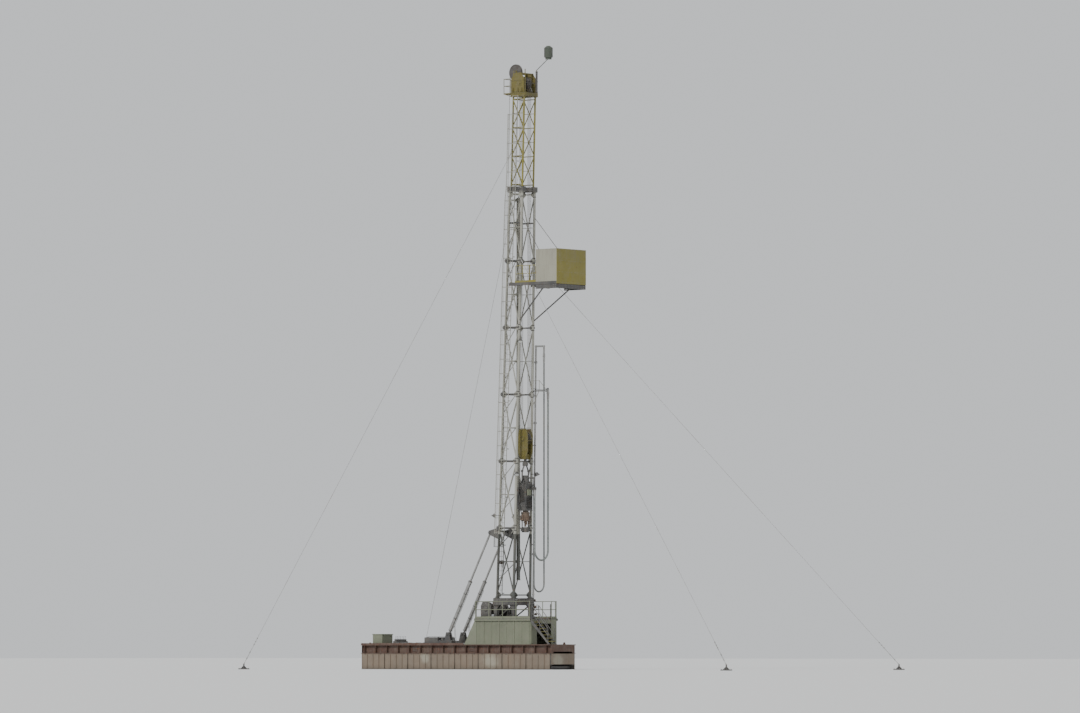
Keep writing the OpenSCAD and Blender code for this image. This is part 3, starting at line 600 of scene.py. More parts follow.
def weathered_paint(name, colour, faded, rust_amount, rough, streaks=0.5, rust=None, under=None, mud=None,
                    patched=()):
    """Paint on steel: faded in patches, streaked by rain, chipped to rust, dusty in large soft areas."""
    material, tree, shader, place = blank(name)
    patches = cloud(tree, place, (0.7, 6.0), 0.3, 0.7)
    paint = mix_colour(tree, patches, colour, faded)
    for spot, size, tone in patched:
        far = put(tree, "ShaderNodeVectorMath", {0: place, 1: spot}, operation="DISTANCE").outputs["Value"]
        far = sum_of(tree, "ADD", far, times(tree, noise_node(tree, place, 1.8, 5.0), size))
        paint = mix_colour(tree, spread(tree, far, size * 0.75, size * 1.6, 0.6, 0.0), paint, tone)
    if under:
        height, tone = under
        paint = mix_colour(tree, by_height(tree, place, height - 0.02, height + 0.02, 1.0, 0.0), paint, tone)
    drawn_out = put(tree, "ShaderNodeMapping", {"Scale": (7.0, 7.0, 0.45), "Vector": place}).outputs["Vector"]
    runs = ramp_node(tree, noise_node(tree, drawn_out, 1.6, 5.0, 0.6), 0.5, 0.78, 0.0, streaks)
    paint = mix_colour(tree, runs, paint, RUN_DIRT)
    dust = cloud(tree, place, (2.3, 8.0, 0.7), 0.45, 0.85, 0.0, 0.35)
    paint = mix_colour(tree, dust, paint, DUST)
    if mud:
        height, tone = mud
        splash = by_height(tree, place, height * 0.3, height * 1.9, 0.9, 0.0, height * 1.2)
        paint = mix_colour(tree, splash, paint, tone)
    edge = 0.5 + 0.22 * (1 - rust_amount)
    chips = cloud(tree, place, (9.0, 10.0, 0.68), edge, edge + 0.03)
    paint = mix_colour(tree, chips, paint, rust or RUST)
    low, high = max(rough - 0.14, 0.05), min(rough + 0.2, 0.95)
    grain = cloud(tree, place, (26.0, 4.0, 0.6), 0.3, 0.8, low, high)
    finish_with(tree, shader, paint, grain, noise_node(tree, place, 18.0, 8.0, 0.65), 0.35, 0.004)
    return material


def worn_metal(name, colour, dark, rust, rough, metallic=0.9, grain=40.0):
    """Bare or cast steel: scuffed bright on grain, brown where the weather stays on it."""
    material, tree, shader, place = blank(name)
    tone = cloud(tree, place, (3.0, 8.0, 0.65), 0.3, 0.75)
    base = mix_colour(tree, tone, colour, dark)
    spots = cloud(tree, place, (7.0, 10.0, 0.7), 0.58, 0.68, 0.0, 0.8)
    base = mix_colour(tree, spots, base, rust)
    shader.inputs["Metallic"].default_value = metallic
    low, high = max(rough - 0.12, 0.05), min(rough + 0.25, 0.95)
    scuffs = cloud(tree, place, (grain, 4.0), 0.3, 0.75, low, high)
    finish_with(tree, shader, base, scuffs, noise_node(tree, place, grain, 6.0, 0.6), 0.3, 0.003)
    return material


def hose_cover(name, colour, pale, twist, lay):
    """Rubber hose cover with the spiral mark of its cloth wrap, chalky where rubbed, muddy in patches."""
    material, tree, shader, place = blank(name)
    unrolled = first(tree, "ShaderNodeUVMap", uv_map="along")
    round_it, along_it = put(tree, "ShaderNodeSeparateXYZ", {0: unrolled}).outputs[:2]
    wound = sum_of(tree, "ADD", sum_of(tree, "DIVIDE", along_it, lay), times(tree, round_it, twist))
    wave = sum_of(tree, "ABSOLUTE", sum_of(tree, "SUBTRACT", sum_of(tree, "FRACT", wound), 0.5))
    ridge = ramp_node(tree, wave, 0.05, 0.35)
    tone = cloud(tree, place, (5.0, 8.0, 0.65), 0.35, 0.75)
    base = mix_colour(tree, tone, colour, pale)
    mud = cloud(tree, place, (1.7, 6.0, 0.6), 0.56, 0.72, 0.0, 0.6)
    base = mix_colour(tree, mud, base, (0.20, 0.17, 0.13))
    base = mix_colour(tree, times(tree, ridge, 0.25), base, (0.02, 0.02, 0.02))
    rubbed = cloud(tree, place, (30.0, 4.0), 0.3, 0.8, 0.5, 0.85)
    finish_with(tree, shader, base, rubbed, ridge, 0.6, 0.003)
    return material


def rope_finish(name, bright, dark):
    material, tree, shader, place = blank(name)
    tone = cloud(tree, place, (2.0, 8.0, 0.7), 0.3, 0.7)
    base = mix_colour(tree, tone, bright, dark)
    rusty = cloud(tree, place, (0.8, 6.0, 0.6), 0.52, 0.7, 0.0, 0.8)
    base = mix_colour(tree, rusty, base, (0.19, 0.10, 0.055))
    shader.inputs["Metallic"].default_value = 0.75
    finish_with(tree, shader, base, cloud(tree, place, (60.0, 3.0), 0.3, 0.7, 0.35, 0.65))
    return material


def lens_finish(name):
    """Ribbed lamp glass with dust on it."""
    material, tree, shader, place = blank(name)
    tone = cloud(tree, place, (14.0, 4.0), 0.3, 0.8)
    base = mix_colour(tree, tone, (0.75, 0.77, 0.74), (0.5, 0.5, 0.46))
    smears = cloud(tree, place, (30.0, 4.0), 0.3, 0.8, 0.08, 0.3)
    ribs = put(tree, "ShaderNodeTexWave", {"Vector": place, "Scale": 30.0, "Distortion": 0.0}).outputs["Fac"]
    finish_with(tree, shader, base, smears, ribs, 0.4, 0.002)
    return material


RUST, MUD, DUST = (0.14, 0.06, 0.03), (0.11, 0.087, 0.062), (0.25, 0.225, 0.18)
RUN_DIRT = (0.16, 0.14, 0.11)
DARK_COAT = (0.066, 0.069, 0.062)
PALE_PATCH = (0.34, 0.325, 0.255)
LOW_COAT = 8.45
MAST = ((0.35, 0.345, 0.30), (0.275, 0.27, 0.23), 0.45, 0.5, 0.45)
PATCHES = (((-1.8, -1.25, 0.5), 0.75, PALE_PATCH), ((3.1, -0.5, 0.5), 0.6, PALE_PATCH),
           ((-7.3, -1.25, 0.7), 0.45, PALE_PATCH), ((-5.0, 1.25, 0.5), 0.7, PALE_PATCH))
PAINTS = {
    "mast_white": MAST,
    "rig_yellow": ((0.215, 0.185, 0.02), (0.175, 0.155, 0.035), 0.45, 0.5, 0.4),
    # The crown's and block's coat: the rig yellow darkened to stand for shade, which is painted shade and not
    # a different paint
    "crown_yellow_painted_shade": ((0.135, 0.112, 0.016), (0.108, 0.092, 0.024), 0.5, 0.5, 0.35),
    "green_grey": ((0.165, 0.18, 0.122), (0.135, 0.145, 0.10), 0.35, 0.6, 0.5),
    "oxide_red": ((0.07, 0.031, 0.021), (0.078, 0.044, 0.031), 0.6, 0.65, 0.5),
    # cream: the board's white side-wall paint, greyed and darkened with painted shade
    "cream": ((0.31, 0.30, 0.235), (0.26, 0.25, 0.197), 0.35, 0.5, 0.45),
    "dark_steel": ((0.05, 0.05, 0.05), (0.09, 0.086, 0.08), 0.5, 0.5, 0.3),
    "brown": ((0.125, 0.082, 0.055), (0.10, 0.075, 0.056), 0.5, 0.55, 0.4),
    "hose_rubber": ((0.045, 0.047, 0.047), (0.09, 0.09, 0.085), 0.4, 0.7, 0.25, (0.16, 0.15, 0.13)),
    "lamp_green": ((0.042, 0.057, 0.042), (0.062, 0.078, 0.056), 0.2, 0.35, 0.2),
}
materials = {name: weathered_paint(name, *tones) for name, tones in PAINTS.items()}
materials.update({
    "mast_two_coats": weathered_paint("mast_two_coats", *MAST, under=(LOW_COAT, DARK_COAT)),
    "panel_beige": weathered_paint("panel_beige", (0.185, 0.138, 0.098), (0.155, 0.122, 0.09), 0.4, 0.6, 0.55,
                                   mud=(0.3, MUD), patched=PATCHES),
    "bare_steel": worn_metal("bare_steel", (0.42, 0.42, 0.41), (0.26, 0.25, 0.235), (0.20, 0.10, 0.06), 0.42),
    "cast": worn_metal("cast", (0.16, 0.15, 0.14), (0.085, 0.075, 0.065), (0.15, 0.075, 0.045), 0.6, 0.7),
    "rotary_cover": hose_cover("rotary_cover", (0.12, 0.125, 0.12), (0.24, 0.245, 0.235), 1.0, 0.07),
    "loop_cover": hose_cover("loop_cover", (0.15, 0.165, 0.155), (0.27, 0.285, 0.27), 2.0, 0.22),
    "drilling_rope": rope_finish("drilling_rope", (0.36, 0.35, 0.33), (0.14, 0.13, 0.12)),
    "guy_rope": rope_finish("guy_rope", (0.52, 0.52, 0.51), (0.30, 0.29, 0.28)),
    "lamp_glass": lens_finish("lamp_glass"),
})

# Nodes whose coat differs from their slot's plain finish: the mast's two coats, and the crown and block in
# yellow darkened with painted shade
COATS = {
    "mast_near": "mast_two_coats", "mast_far": "mast_two_coats", "mast_back": "mast_two_coats",
    "crown_frame": "crown_yellow_painted_shade", "crown_cheeks": "crown_yellow_painted_shade", "block_frame": "crown_yellow_painted_shade",
}
slot_of = {entry["node"]: entry["material_slot"] for entry in frame["record"]["subparts"]}
for node_name, item in nodes.items():
    item.data.materials.clear()
    item.data.materials.append(materials[COATS.get(node_name, slot_of[node_name])])


# Hoses on the far side: down one leg, round a bend and up to the top drive
ROTARY_A, ROTARY_B = vec(0.35, 1.40, 19.6), vec(0.34, 0.44, DRIVE_TOP - 0.2)
ROTARY_BEND, ROTARY_D = 5.33, 0.10
LOOP_A, LOOP_B = vec(0.56, 1.54, 17.3), vec(0.54, 0.27, DRIVE_TOP - 0.45)
LOOP_BEND, LOOP_HOSE_D = 7.45, 0.118
HOSE_SIDES = 20


def hose_route(a, b, bend, rows):
    """Points down one leg, round a half circle and up the other."""
    across = vec(b.x - a.x, b.y - a.y, 0)
    radius = across.length / 2
    middle = vec((a.x + b.x) / 2, (a.y + b.y) / 2, bend)
    across.normalize()
    down = [vec(a.x, a.y, a.z + (bend - a.z) * i / rows) for i in range(rows)]
    turn = [middle - (across * math.cos(t) + UP * math.sin(t)) * radius for t in row(0, math.pi / 16, 17)]
    return down + turn + [vec(b.x, b.y, bend + (b.z - bend) * (i + 1) / rows) for i in range(rows)]


def hose(name, node, a, b, bend, width, cover):
    """A hose's cover with its length laid out as a map, and the hose's route and length."""
    fine = hose_route(a, b, bend, 60)
    run = [0.0]
    for p, q in zip(fine, fine[1:]):
        run.append(run[-1] + (q - p).length)
    shape = Shape()
    shape.tube(fine, [width / 2 - 0.0006 * i / len(fine) for i in range(len(fine))], HOSE_SIDES)
    piece = shape.piece(name, "hose_rubber", None, cover, smooth=60)
    along = piece.data.uv_layers.new(name="along")
    for face in piece.data.polygons:
        if len(face.vertices) != 4:
            continue
        marks = [v % HOSE_SIDES for v in face.vertices]
        over = 0 in marks and HOSE_SIDES - 1 in marks
        for loop, v, mark in zip(face.loop_indices, face.vertices, marks):
            turned = HOSE_SIDES if over and mark == 0 else mark
            along.data[loop].uv = (turned / HOSE_SIDES, run[v // HOSE_SIDES])
    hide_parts(node)
    across = vec(b.x - a.x, b.y - a.y, 0)
    across.normalize()
    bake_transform(piece)
    return piece, hose_route(a, b, bend, 10), run[-1]


def hose_end(name, top, width, body):
    """Pressed ferrule with a hammer union on it, pointing down."""
    r = width / 2
    profile = ((-0.1, 0.9), (-0.02, 0.9), (-0.02, 1.5), (0.06, 1.5), (0.06, 1.22), (0.1, 1.3),
               (0.34, 1.3), (0.38, 1.12), (0.44, 1.04))
    shape = Shape()
    shape.turned(top, -UP, [(s, r * wide) for s, wide in profile], 24)
    c = top - UP * 0.02
    for inner, outer in zip(round_about(c, UP, r * 1.35, 3), round_about(c, UP, r * 1.95, 3)):
        shape.tube([inner, outer], r * 0.28, 8)
    return shape.piece(name, "bare_steel", body, smooth=30)


rotary, rotary_route, rotary_length = hose("rotary_hose_cover", "rotary_hose", ROTARY_A, ROTARY_B,
                                           ROTARY_BEND, ROTARY_D, "rotary_cover")
rotary_ends = [hose_end("rotary_hose_top_union", ROTARY_A, ROTARY_D, RIG),
               hose_end("rotary_hose_drive_union", ROTARY_B, ROTARY_D, BLOCK)]
tuple(ROTARY_A)
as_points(rotary_route)

loop, loop_route, loop_length = hose("service_loop_cover", "service_loop", LOOP_A, LOOP_B, LOOP_BEND,
                                     LOOP_HOSE_D, "loop_cover")
loop_ends = [hose_end("service_loop_top_clamp", LOOP_A, LOOP_HOSE_D, RIG),
             hose_end("service_loop_drive_clamp", LOOP_B, LOOP_HOSE_D, BLOCK)]
tuple(LOOP_A)
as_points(loop_route)


# Wire ropes: drilling line, fast line, dead line and guys, each laid from strands
def wire_rope(name, lines, width, lay, coat, body=RIG):
    sizes = {"Width": width, "Strands": 6, "Lay": lay}
    return along_lines(name, ROPE, lines, sizes, "bare_steel", body, coat)


falls = [[(end * LINE_R, y, BLOCK_AXIS), (end * LINE_R, y, CROWN_AXIS)] for y in SHEAVES for end in SIDES]
drilling = wire_rope("drilling_line_falls", falls, LINE_D, 0.2, "drilling_rope", None)
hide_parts("drill_lines")
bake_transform(drilling)

fast_run = [(FAST.x - FAST_R, FAST.y, FAST.z), (DRUM.x + DRUM_R + LINE_D / 2, FAST.y, DRUM.z)]
fast = wire_rope("fast_line_rope", [fast_run], LINE_D, 0.2, "drilling_rope")
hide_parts("fast_line")

dead_leg = leg_at(-1, -1, (level(0) + level(1)) / 2)
DEAD_DRUM = dead_leg + vec(0.18, 0.18, -0.05)
dead_run = [(-LINE_R, -0.33, CROWN_AXIS + 0.06), DEAD_DRUM + vec(0.108, -0.03, 0)]
dead = wire_rope("dead_line_rope", [dead_run], LINE_D, 0.2, "drilling_rope")
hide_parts("dead_line")

guy_lines = []
for side in SIDES:
    guy_lines.append([leg_at(side, 1, GUY_FRONT_Z), vec(GUY_FRONT, side * GUY_SIDE, EYE_Z)])
    guy_lines.append([top_leg_at(side, -1, GUY_REAR_Z), vec(-GUY_REAR, side * GUY_SIDE, EYE_Z)])
guy_ropes = [[top, eye + (top - eye).normalized() * 1.1] for top, eye in guy_lines]
guys = wire_rope("guy_ropes", guy_ropes, GUY_D, 0.3, "guy_rope")
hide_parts("guys_front", "guys_rear")


# Base: web stiffeners, panel frames and bolts, lifting lugs, toe plates and tread bars
PANELS = 8
PITCH = (BASE_REAR + BASE_FRONT - 0.04) / PANELS
SPLICES = (-8.2, -3.5)
WEB_Y, SPLICE_Y, PANEL_Y, EDGE_Y = 1.046, 1.062, 1.222, 1.235


def tread_bar(x, y, z, turn):
    """One raised bar of the floor plates' pattern, turned this way and that."""
    return ((x, y, z + 0.0015), (1, 1 if turn % 2 else -1, 0), 0.05, UP)


def base_fittings():
    stiff, bolts = Shape(), []
    for side in SIDES:
        for x in row(-BASE_REAR + 0.28, 0.94, 17):
            stiff.box((x - 0.008, side * WEB_Y, 1.026), (x + 0.008, side * EDGE_Y, 1.504))
        for x in SPLICES:
            stiff.box((x - 0.22, side * WEB_Y, 1.12), (x + 0.22, side * SPLICE_Y, 1.42))
            along = [x + dx for dx in (-0.17, -0.1, -0.03, 0.03, 0.1, 0.17)]
            bolts += grid(OUT[side], along, side * SPLICE_Y, (1.17, 1.27, 1.37))
    stiff.piece("base_web_stiffeners", "oxide_red")
    bolt_heads("base_splice_bolts", bolts, 0.032, 0.022, 0.048, 2, "dark_steel")

    frames, hinges, bolts = Shape(), Shape(), []
    for side in SIDES:
        y0, y1 = side * (PANEL_Y - 0.01), side * PANEL_Y
        for x0 in row(-BASE_REAR + 0.05, PITCH, PANELS):
            x1 = x0 + PITCH - 0.06
            for a, b, low, high in ((x0, x1, 0.02, 0.06), (x0, x1, 0.945, 0.985),
                                    (x0, x0 + 0.04, 0.06, 0.945), (x1 - 0.04, x1, 0.06, 0.945)):
                frames.box((a, y0, low), (b, y1, high))
            for z in (0.04, 0.965):
                bolts += grid(OUT[side], row(x0 + 0.02, (x1 - x0 - 0.04) / 4, 5), y1, z)
            for z in (0.35, 0.65):
                bolts += grid(OUT[side], (x0 + 0.02, x1 - 0.02), y1, z)
            for x in (x0 + 0.3, x1 - 0.3):
                hinges.tube([(x - 0.05, side * 1.232, 0.962), (x + 0.05, side * 1.232, 0.962)], 0.012, 8)
            pull = ((0.9, 1.225, 0.84), (0.9, 1.247, 0.82), (0.98, 1.247, 0.82), (0.98, 1.225, 0.84))
            hinges.tube([(x0 + x, side * y, z) for x, y, z in pull], 0.007, 6)
    frames.piece("base_panel_frames", "panel_beige", bevel=0.002)
    hinges.piece("base_panel_hinges_and_pulls", "dark_steel")
    for x, way in ((-BASE_REAR - 0.023, -1), (BASE_FRONT + 0.023, 1)):
        bolts += grid(AHEAD[way], x, (-1.0, -0.35, 0.35, 1.0), (0.37, 0.65, 0.94))
    bolt_heads("base_panel_bolts", bolts, 0.019, 0.011, 0.03, 9, "panel_beige")

    lugs, coaming, inner = Shape(), Shape(), -BASE_REAR + 0.01
    for side in SIDES:
        for x in (-12.2, -8.9, 2.5):
            outline = [(x + dx, DECK_Z + h) for dx, h in ((-0.11, 0), (0.11, 0), (0.06, 0.13), (-0.06, 0.13))]
            lugs.side_plate(side * 0.80 - 0.012, outline, 0.024)
            lugs.hoop((x, side * 0.80, DECK_Z + 0.085), ACROSS, 0.032, 0.02, 16, 6)
        for x in (-BASE_REAR, BASE_FRONT):
            lugs.block(x, side * 1.03, 0, 0.012, 0.12, 1.03, 1.5)
        coaming.box((inner, side * 1.215, DECK_Z), (-4.05, side * EDGE_Y, DECK_Z + 0.09))
    coaming.box((inner, -1.215, DECK_Z), (inner + 0.02, 1.215, DECK_Z + 0.09))
    lugs.piece("base_lifting_lugs", "oxide_red", bevel=0.003)
    coaming.piece("deck_toe_plates", "oxide_red", bevel=0.002)
    tread = []
    for start, step, count in ((-BASE_REAR + 0.12, 0.078, 63), (1.6, 0.075, 19)):
        for i, x in enumerate(row(start, step, count)):
            for j, y in enumerate(row(-1.05 + (0.075 if i % 2 else 0), 0.15, 15)):
                if y < 1.12:
                    tread.append(tread_bar(x, y, DECK_Z, i + j))
    flat_bars("deck_tread_bars", tread, 0.004, 0.012, "oxide_red")


base_fittings()


# Deck gear behind the floor: power pack pipes, valve bank, cable tray and tool chest
PIPE_RUN = ((-10.2, 0.1), (-7.75, 0.1), (-7.65, 0.12), (-7.62, 0.3), (-7.62, 0.47), (-7.55, 0.49),
            (-6.42, 0.49), (-6.38, 0.46), (-6.36, 0.1), (-6.3, 0.06), (-4.2, 0.06))


def deck_gear():
    pipes, clips = Shape(), Shape()
    for side in SIDES:
        for y in row(0.46, 0.055, 3):
            pipes.tube([(x, side * y, DECK_Z + h) for x, h in PIPE_RUN], 0.016, 8)
        for x in (-9.9, -9.2, -8.5, -7.9, -6.0, -5.4, -4.8, -4.4):
            top = 0.13 if x < -7.7 else 0.09
            for low, high in ((0, top - 0.045), (top - 0.025, top)):
                clips.block(x, side * 0.525, DECK_Z, 0.02, 0.095, low, high)
    pipes.piece("deck_hydraulic_pipes", "bare_steel")
    clips.piece("deck_pipe_clips", "dark_steel")
    bank, x = Shape(), -10.35
    bank.block(x, 0, DECK_Z, 0.2, 0.62, 0, 0.06)
    bank.block(x, 0, DECK_Z, 0.15, 0.55, 0.06, 0.22)
    for y in row(-0.45, 0.15, 7):
        bank.block(x, y, DECK_Z, 0.08, 0.045, 0.22, 0.34)
        lever = moved((x, y, DECK_Z), ((0, 0, 0.34), (0, 0, 0.38), (0.02, 0, 0.5)))
        bank.tube(lever, [0.014, 0.012, 0.009], 8)
        knob = [(-0.018, 0.004), (-0.01, 0.016), (0.008, 0.02), (0.02, 0.012), (0.024, 0.003)]
        bank.turned((x + 0.02, y, DECK_Z + 0.5), UP, knob, 10)
    bank.piece("deck_valve_bank", "dark_steel", bevel=0.004)
    tray = grid(ACROSS, row(-9.9, 0.19, 30), 0, DECK_Z + 0.05, 0.3, UP)
    flat_bars("deck_cable_tray_rungs", tray, 0.008, 0.03, "bare_steel")
    rails, cables = Shape(), Shape()
    for y in (-0.15, 0.15):
        rails.block(-7.2, y, DECK_Z, 2.9, 0.006, 0.02, 0.09)
    rng = random.Random(4)
    for k, y in enumerate(row(-0.1, 0.05, 5)):
        path = [(x, y + rng.uniform(-0.012, 0.012), DECK_Z + 0.075 + rng.uniform(0, 0.01))
                for x in row(-10.1, 0.29, 21)]
        cables.tube(path, 0.015 + 0.003 * (k % 2), 8)
    rails.piece("deck_cable_tray_sides", "bare_steel")
    cables.piece("deck_cables", "hose_rubber", smooth=60)
    chest, x, y = Shape(), -11.5, -0.4
    chest.block(x, y, DECK_Z, 0.4, 0.5, 0.08, 0.62)
    chest.block(x, y, DECK_Z, 0.43, 0.53, 0.62, 0.67)
    for foot in (-11.76, -11.24):
        chest.block(foot, y, DECK_Z, 0.04, 0.5, 0, 0.08)
    for hasp in (-0.7, -0.1):
        chest.block(-11.06, hasp, DECK_Z, 0.01, 0.03, 0.5, 0.66)
    chest.piece("deck_tool_chest", "green_grey", bevel=0.008)


deck_gear()


# Cladding: rolled ribs between the stiffeners, edge angles and their screws
def cladding():
    ribs, bolts = Shape(), []
    stiffeners = row(-FLOOR_REAR + 0.12, (FLOOR_REAR + FLOOR_FRONT - 0.24) / 7, 8)
    for side in SIDES:
        y = side * SIDE_Y
        for x in row(-FLOOR_REAR + 0.06, 0.099, 46):
            if min(abs(x - place) for place in stiffeners) >= 0.055:
                ribs.box((x - 0.022, y, DECK_Z + 0.06), (x + 0.022, y + side * 0.012, 3.06))
        sill = [(-3.9, DECK_Z), (FLOOR_FRONT, DECK_Z), (FLOOR_FRONT, DECK_Z + 0.055), (-3.87, DECK_Z + 0.055)]
        ribs.side_plate(y, sill, side * 0.016)
        ribs.box((-FLOOR_REAR, y, 3.065), (FLOOR_FRONT, y + side * 0.016, 3.115))
        bolts += grid(OUT[side], row(-FLOOR_REAR + 0.1, 0.152, 30), y + side * 0.016, (DECK_Z + 0.028, 3.09))
        bolts += grid(OUT[side], stiffeners, y + side * 0.03, (1.75, 2.05, 2.35, 2.65, 2.95))
    lean = vec(-SUB_REAR_LOW + FLOOR_REAR, 0, DECK_Z - 3.12).normalized()
    normal = vec(lean.z, 0, -lean.x)
    half = ACROSS * 0.022
    for i, y in enumerate(row(-1.15, 0.1, 24)):
        top = vec(-FLOOR_REAR, y, 3.12) + lean * 0.08
        low = vec(-SUB_REAR_LOW, y, DECK_Z) - lean * 0.08
        ribs.plate([top - half, top + half, low + half, low - half], normal * 0.012)
        if i % 2:
            bolts += [(p + normal * 0.013, normal) for p in (top + lean * 0.02, low - lean * 0.02)]
    ribs.piece("cladding_ribs", "green_grey")
    bolt_heads("cladding_screws", bolts, 0.016, 0.008, 0.026, 4, "dark_steel")


cladding()


# Drill floor: tread bars, edge angles, toe plates, rotary bolts, bushing, mousehole, posts and slips
RAIL_FEET = row(-2.99, 1.1075, 5)
RAIL_Y = 1.29


def floor_fittings():
    tread = []
    for i, x in enumerate(row(-FLOOR_REAR + 0.1, 0.08, 56)):
        for j, y in enumerate(row(-FLOOR_HALF + 0.08, 0.08, 34)):
            past_edge = abs(y) > FLOOR_HALF - 0.07 or x > FLOOR_FRONT - 0.07
            at_drawworks = -2.95 < x < -2.05 and abs(y) > 0.76
            if math.hypot(x, y) >= 0.66 and not past_edge and not at_drawworks:
                tread.append(tread_bar(x, y, FLOOR_Z, i + j))
    flat_bars("floor_tread_bars", tread, 0.004, 0.01, "dark_steel")
    edge, toes, bolts = Shape(), Shape(), []
    low, high, thick, front = 3.03, 3.12, 0.014, FLOOR_FRONT + WALL
    for side in SIDES:
        edge.box((-FLOOR_REAR, side * FLOOR_HALF, low), (front, side * (FLOOR_HALF - thick), high))
    edge.box((-FLOOR_REAR, -FLOOR_HALF, low), (-FLOOR_REAR + thick, FLOOR_HALF, high))
    edge.piece("floor_edge_angles", "green_grey", bevel=0.002)
    toes.block(-2.99, 0, FLOOR_Z, 0.006, 1.2, 0, 0.15)
    toes.block(1.44, 1.01, FLOOR_Z, 0.006, 0.19, 0, 0.15)
    for side in SIDES:
        for x in RAIL_FEET:
            toes.block(x, side * RAIL_Y, FLOOR_Z, 0.06, 0.06, 0, 0.012)
            y, z, off = side * RAIL_Y, FLOOR_Z + 0.012, 0.042
            toes.turned((x, y, z), UP, [(0, 0.036), (0.09, 0.034), (0.095, 0.028)], 12)
            bolts += grid(UP, (x - off, x + off), (y - off, y + off), z)
    toes.piece("rail_feet_and_toe_plates", "green_grey")
    bolts += bolt_ring((0, 0, FLOOR_Z + 0.11), UP, 0.54, 24)
    bolts += bolt_ring((0, 0, FLOOR_Z + 0.16), UP, 0.385, 12, math.pi / 12)
    bolt_heads("floor_bolts", bolts, 0.026, 0.016, 0.038, 6)

    bushing, steps = Shape(), 20
    section = ((0.224, 3.322), (0.335, 3.322), (0.335, 3.338), (0.244, 3.338))
    for half in (0, 1):
        flat = []
        for t in row(0.023 + math.pi * half, math.pi * 0.985 / steps, steps + 1):
            flat += [vec(math.cos(t) * r, math.sin(t) * r, z) for r, z in section]
        faces = [(k + m, k + (m + 1) % 4, k + (m + 1) % 4 + 4, k + m + 4) for k in range(0, steps * 4, 4)
                 for m in range(4)]
        bushing.add(flat, faces + [(0, 3, 2, 1), tuple(steps * 4 + m for m in range(4))])
    bushing.piece("rotary_bushing_halves", "bare_steel", bevel=0.002)

    mouse, hole = Shape(), vec(0.98, -0.55, FLOOR_Z)
    mouse.turned(hole, UP, [(0, 0.15), (0.06, 0.15), (0.07, 0.13), (0.075, 0.1)], 24)
    mouse.turned(hole + UP * 0.07, UP, [(0, 0.09), (0.03, 0.09), (0.035, 0.02)], 24)
    mouse.hoop(hole + UP * 0.115, ALONG, 0.03, 0.012, 12, 6)
    for side in SIDES:
        post = vec(1.18, side * 1.08, FLOOR_Z)
        mouse.turned(post, UP, [(0, 0.09), (0.02, 0.09), (0.02, 0.05), (0.9, 0.05), (0.93, 0.04)], 16)
        mouse.hoop(post + UP * 0.8, UP, 0.065, 0.03, 16, 6)
    mouse.piece("floor_sockets_and_posts", "dark_steel")
    slips, x = Shape(), -1.15
    for c in round_about((x, -0.05, FLOOR_Z), UP, 0.13, 5):
        slips.turned(c, UP, [(0.002, 0.028), (0.26, 0.05), (0.28, 0.044)], 8)
    handle = ((-0.2, 0.26), (-0.26, 0.5), (-0.2, 0.62), (-0.1, 0.62), (-0.06, 0.27))
    slips.tube([(x, y, FLOOR_Z + h) for y, h in handle], 0.012, 8)
    slips.piece("pipe_slips", "cast")
    stands = Shape()
    stands.block(1.05, 0.8, FLOOR_Z, 0.33, 0.3, 0, 0.06)
    stands.piece("setback_boards", "brown", bevel=0.006)


floor_fittings()


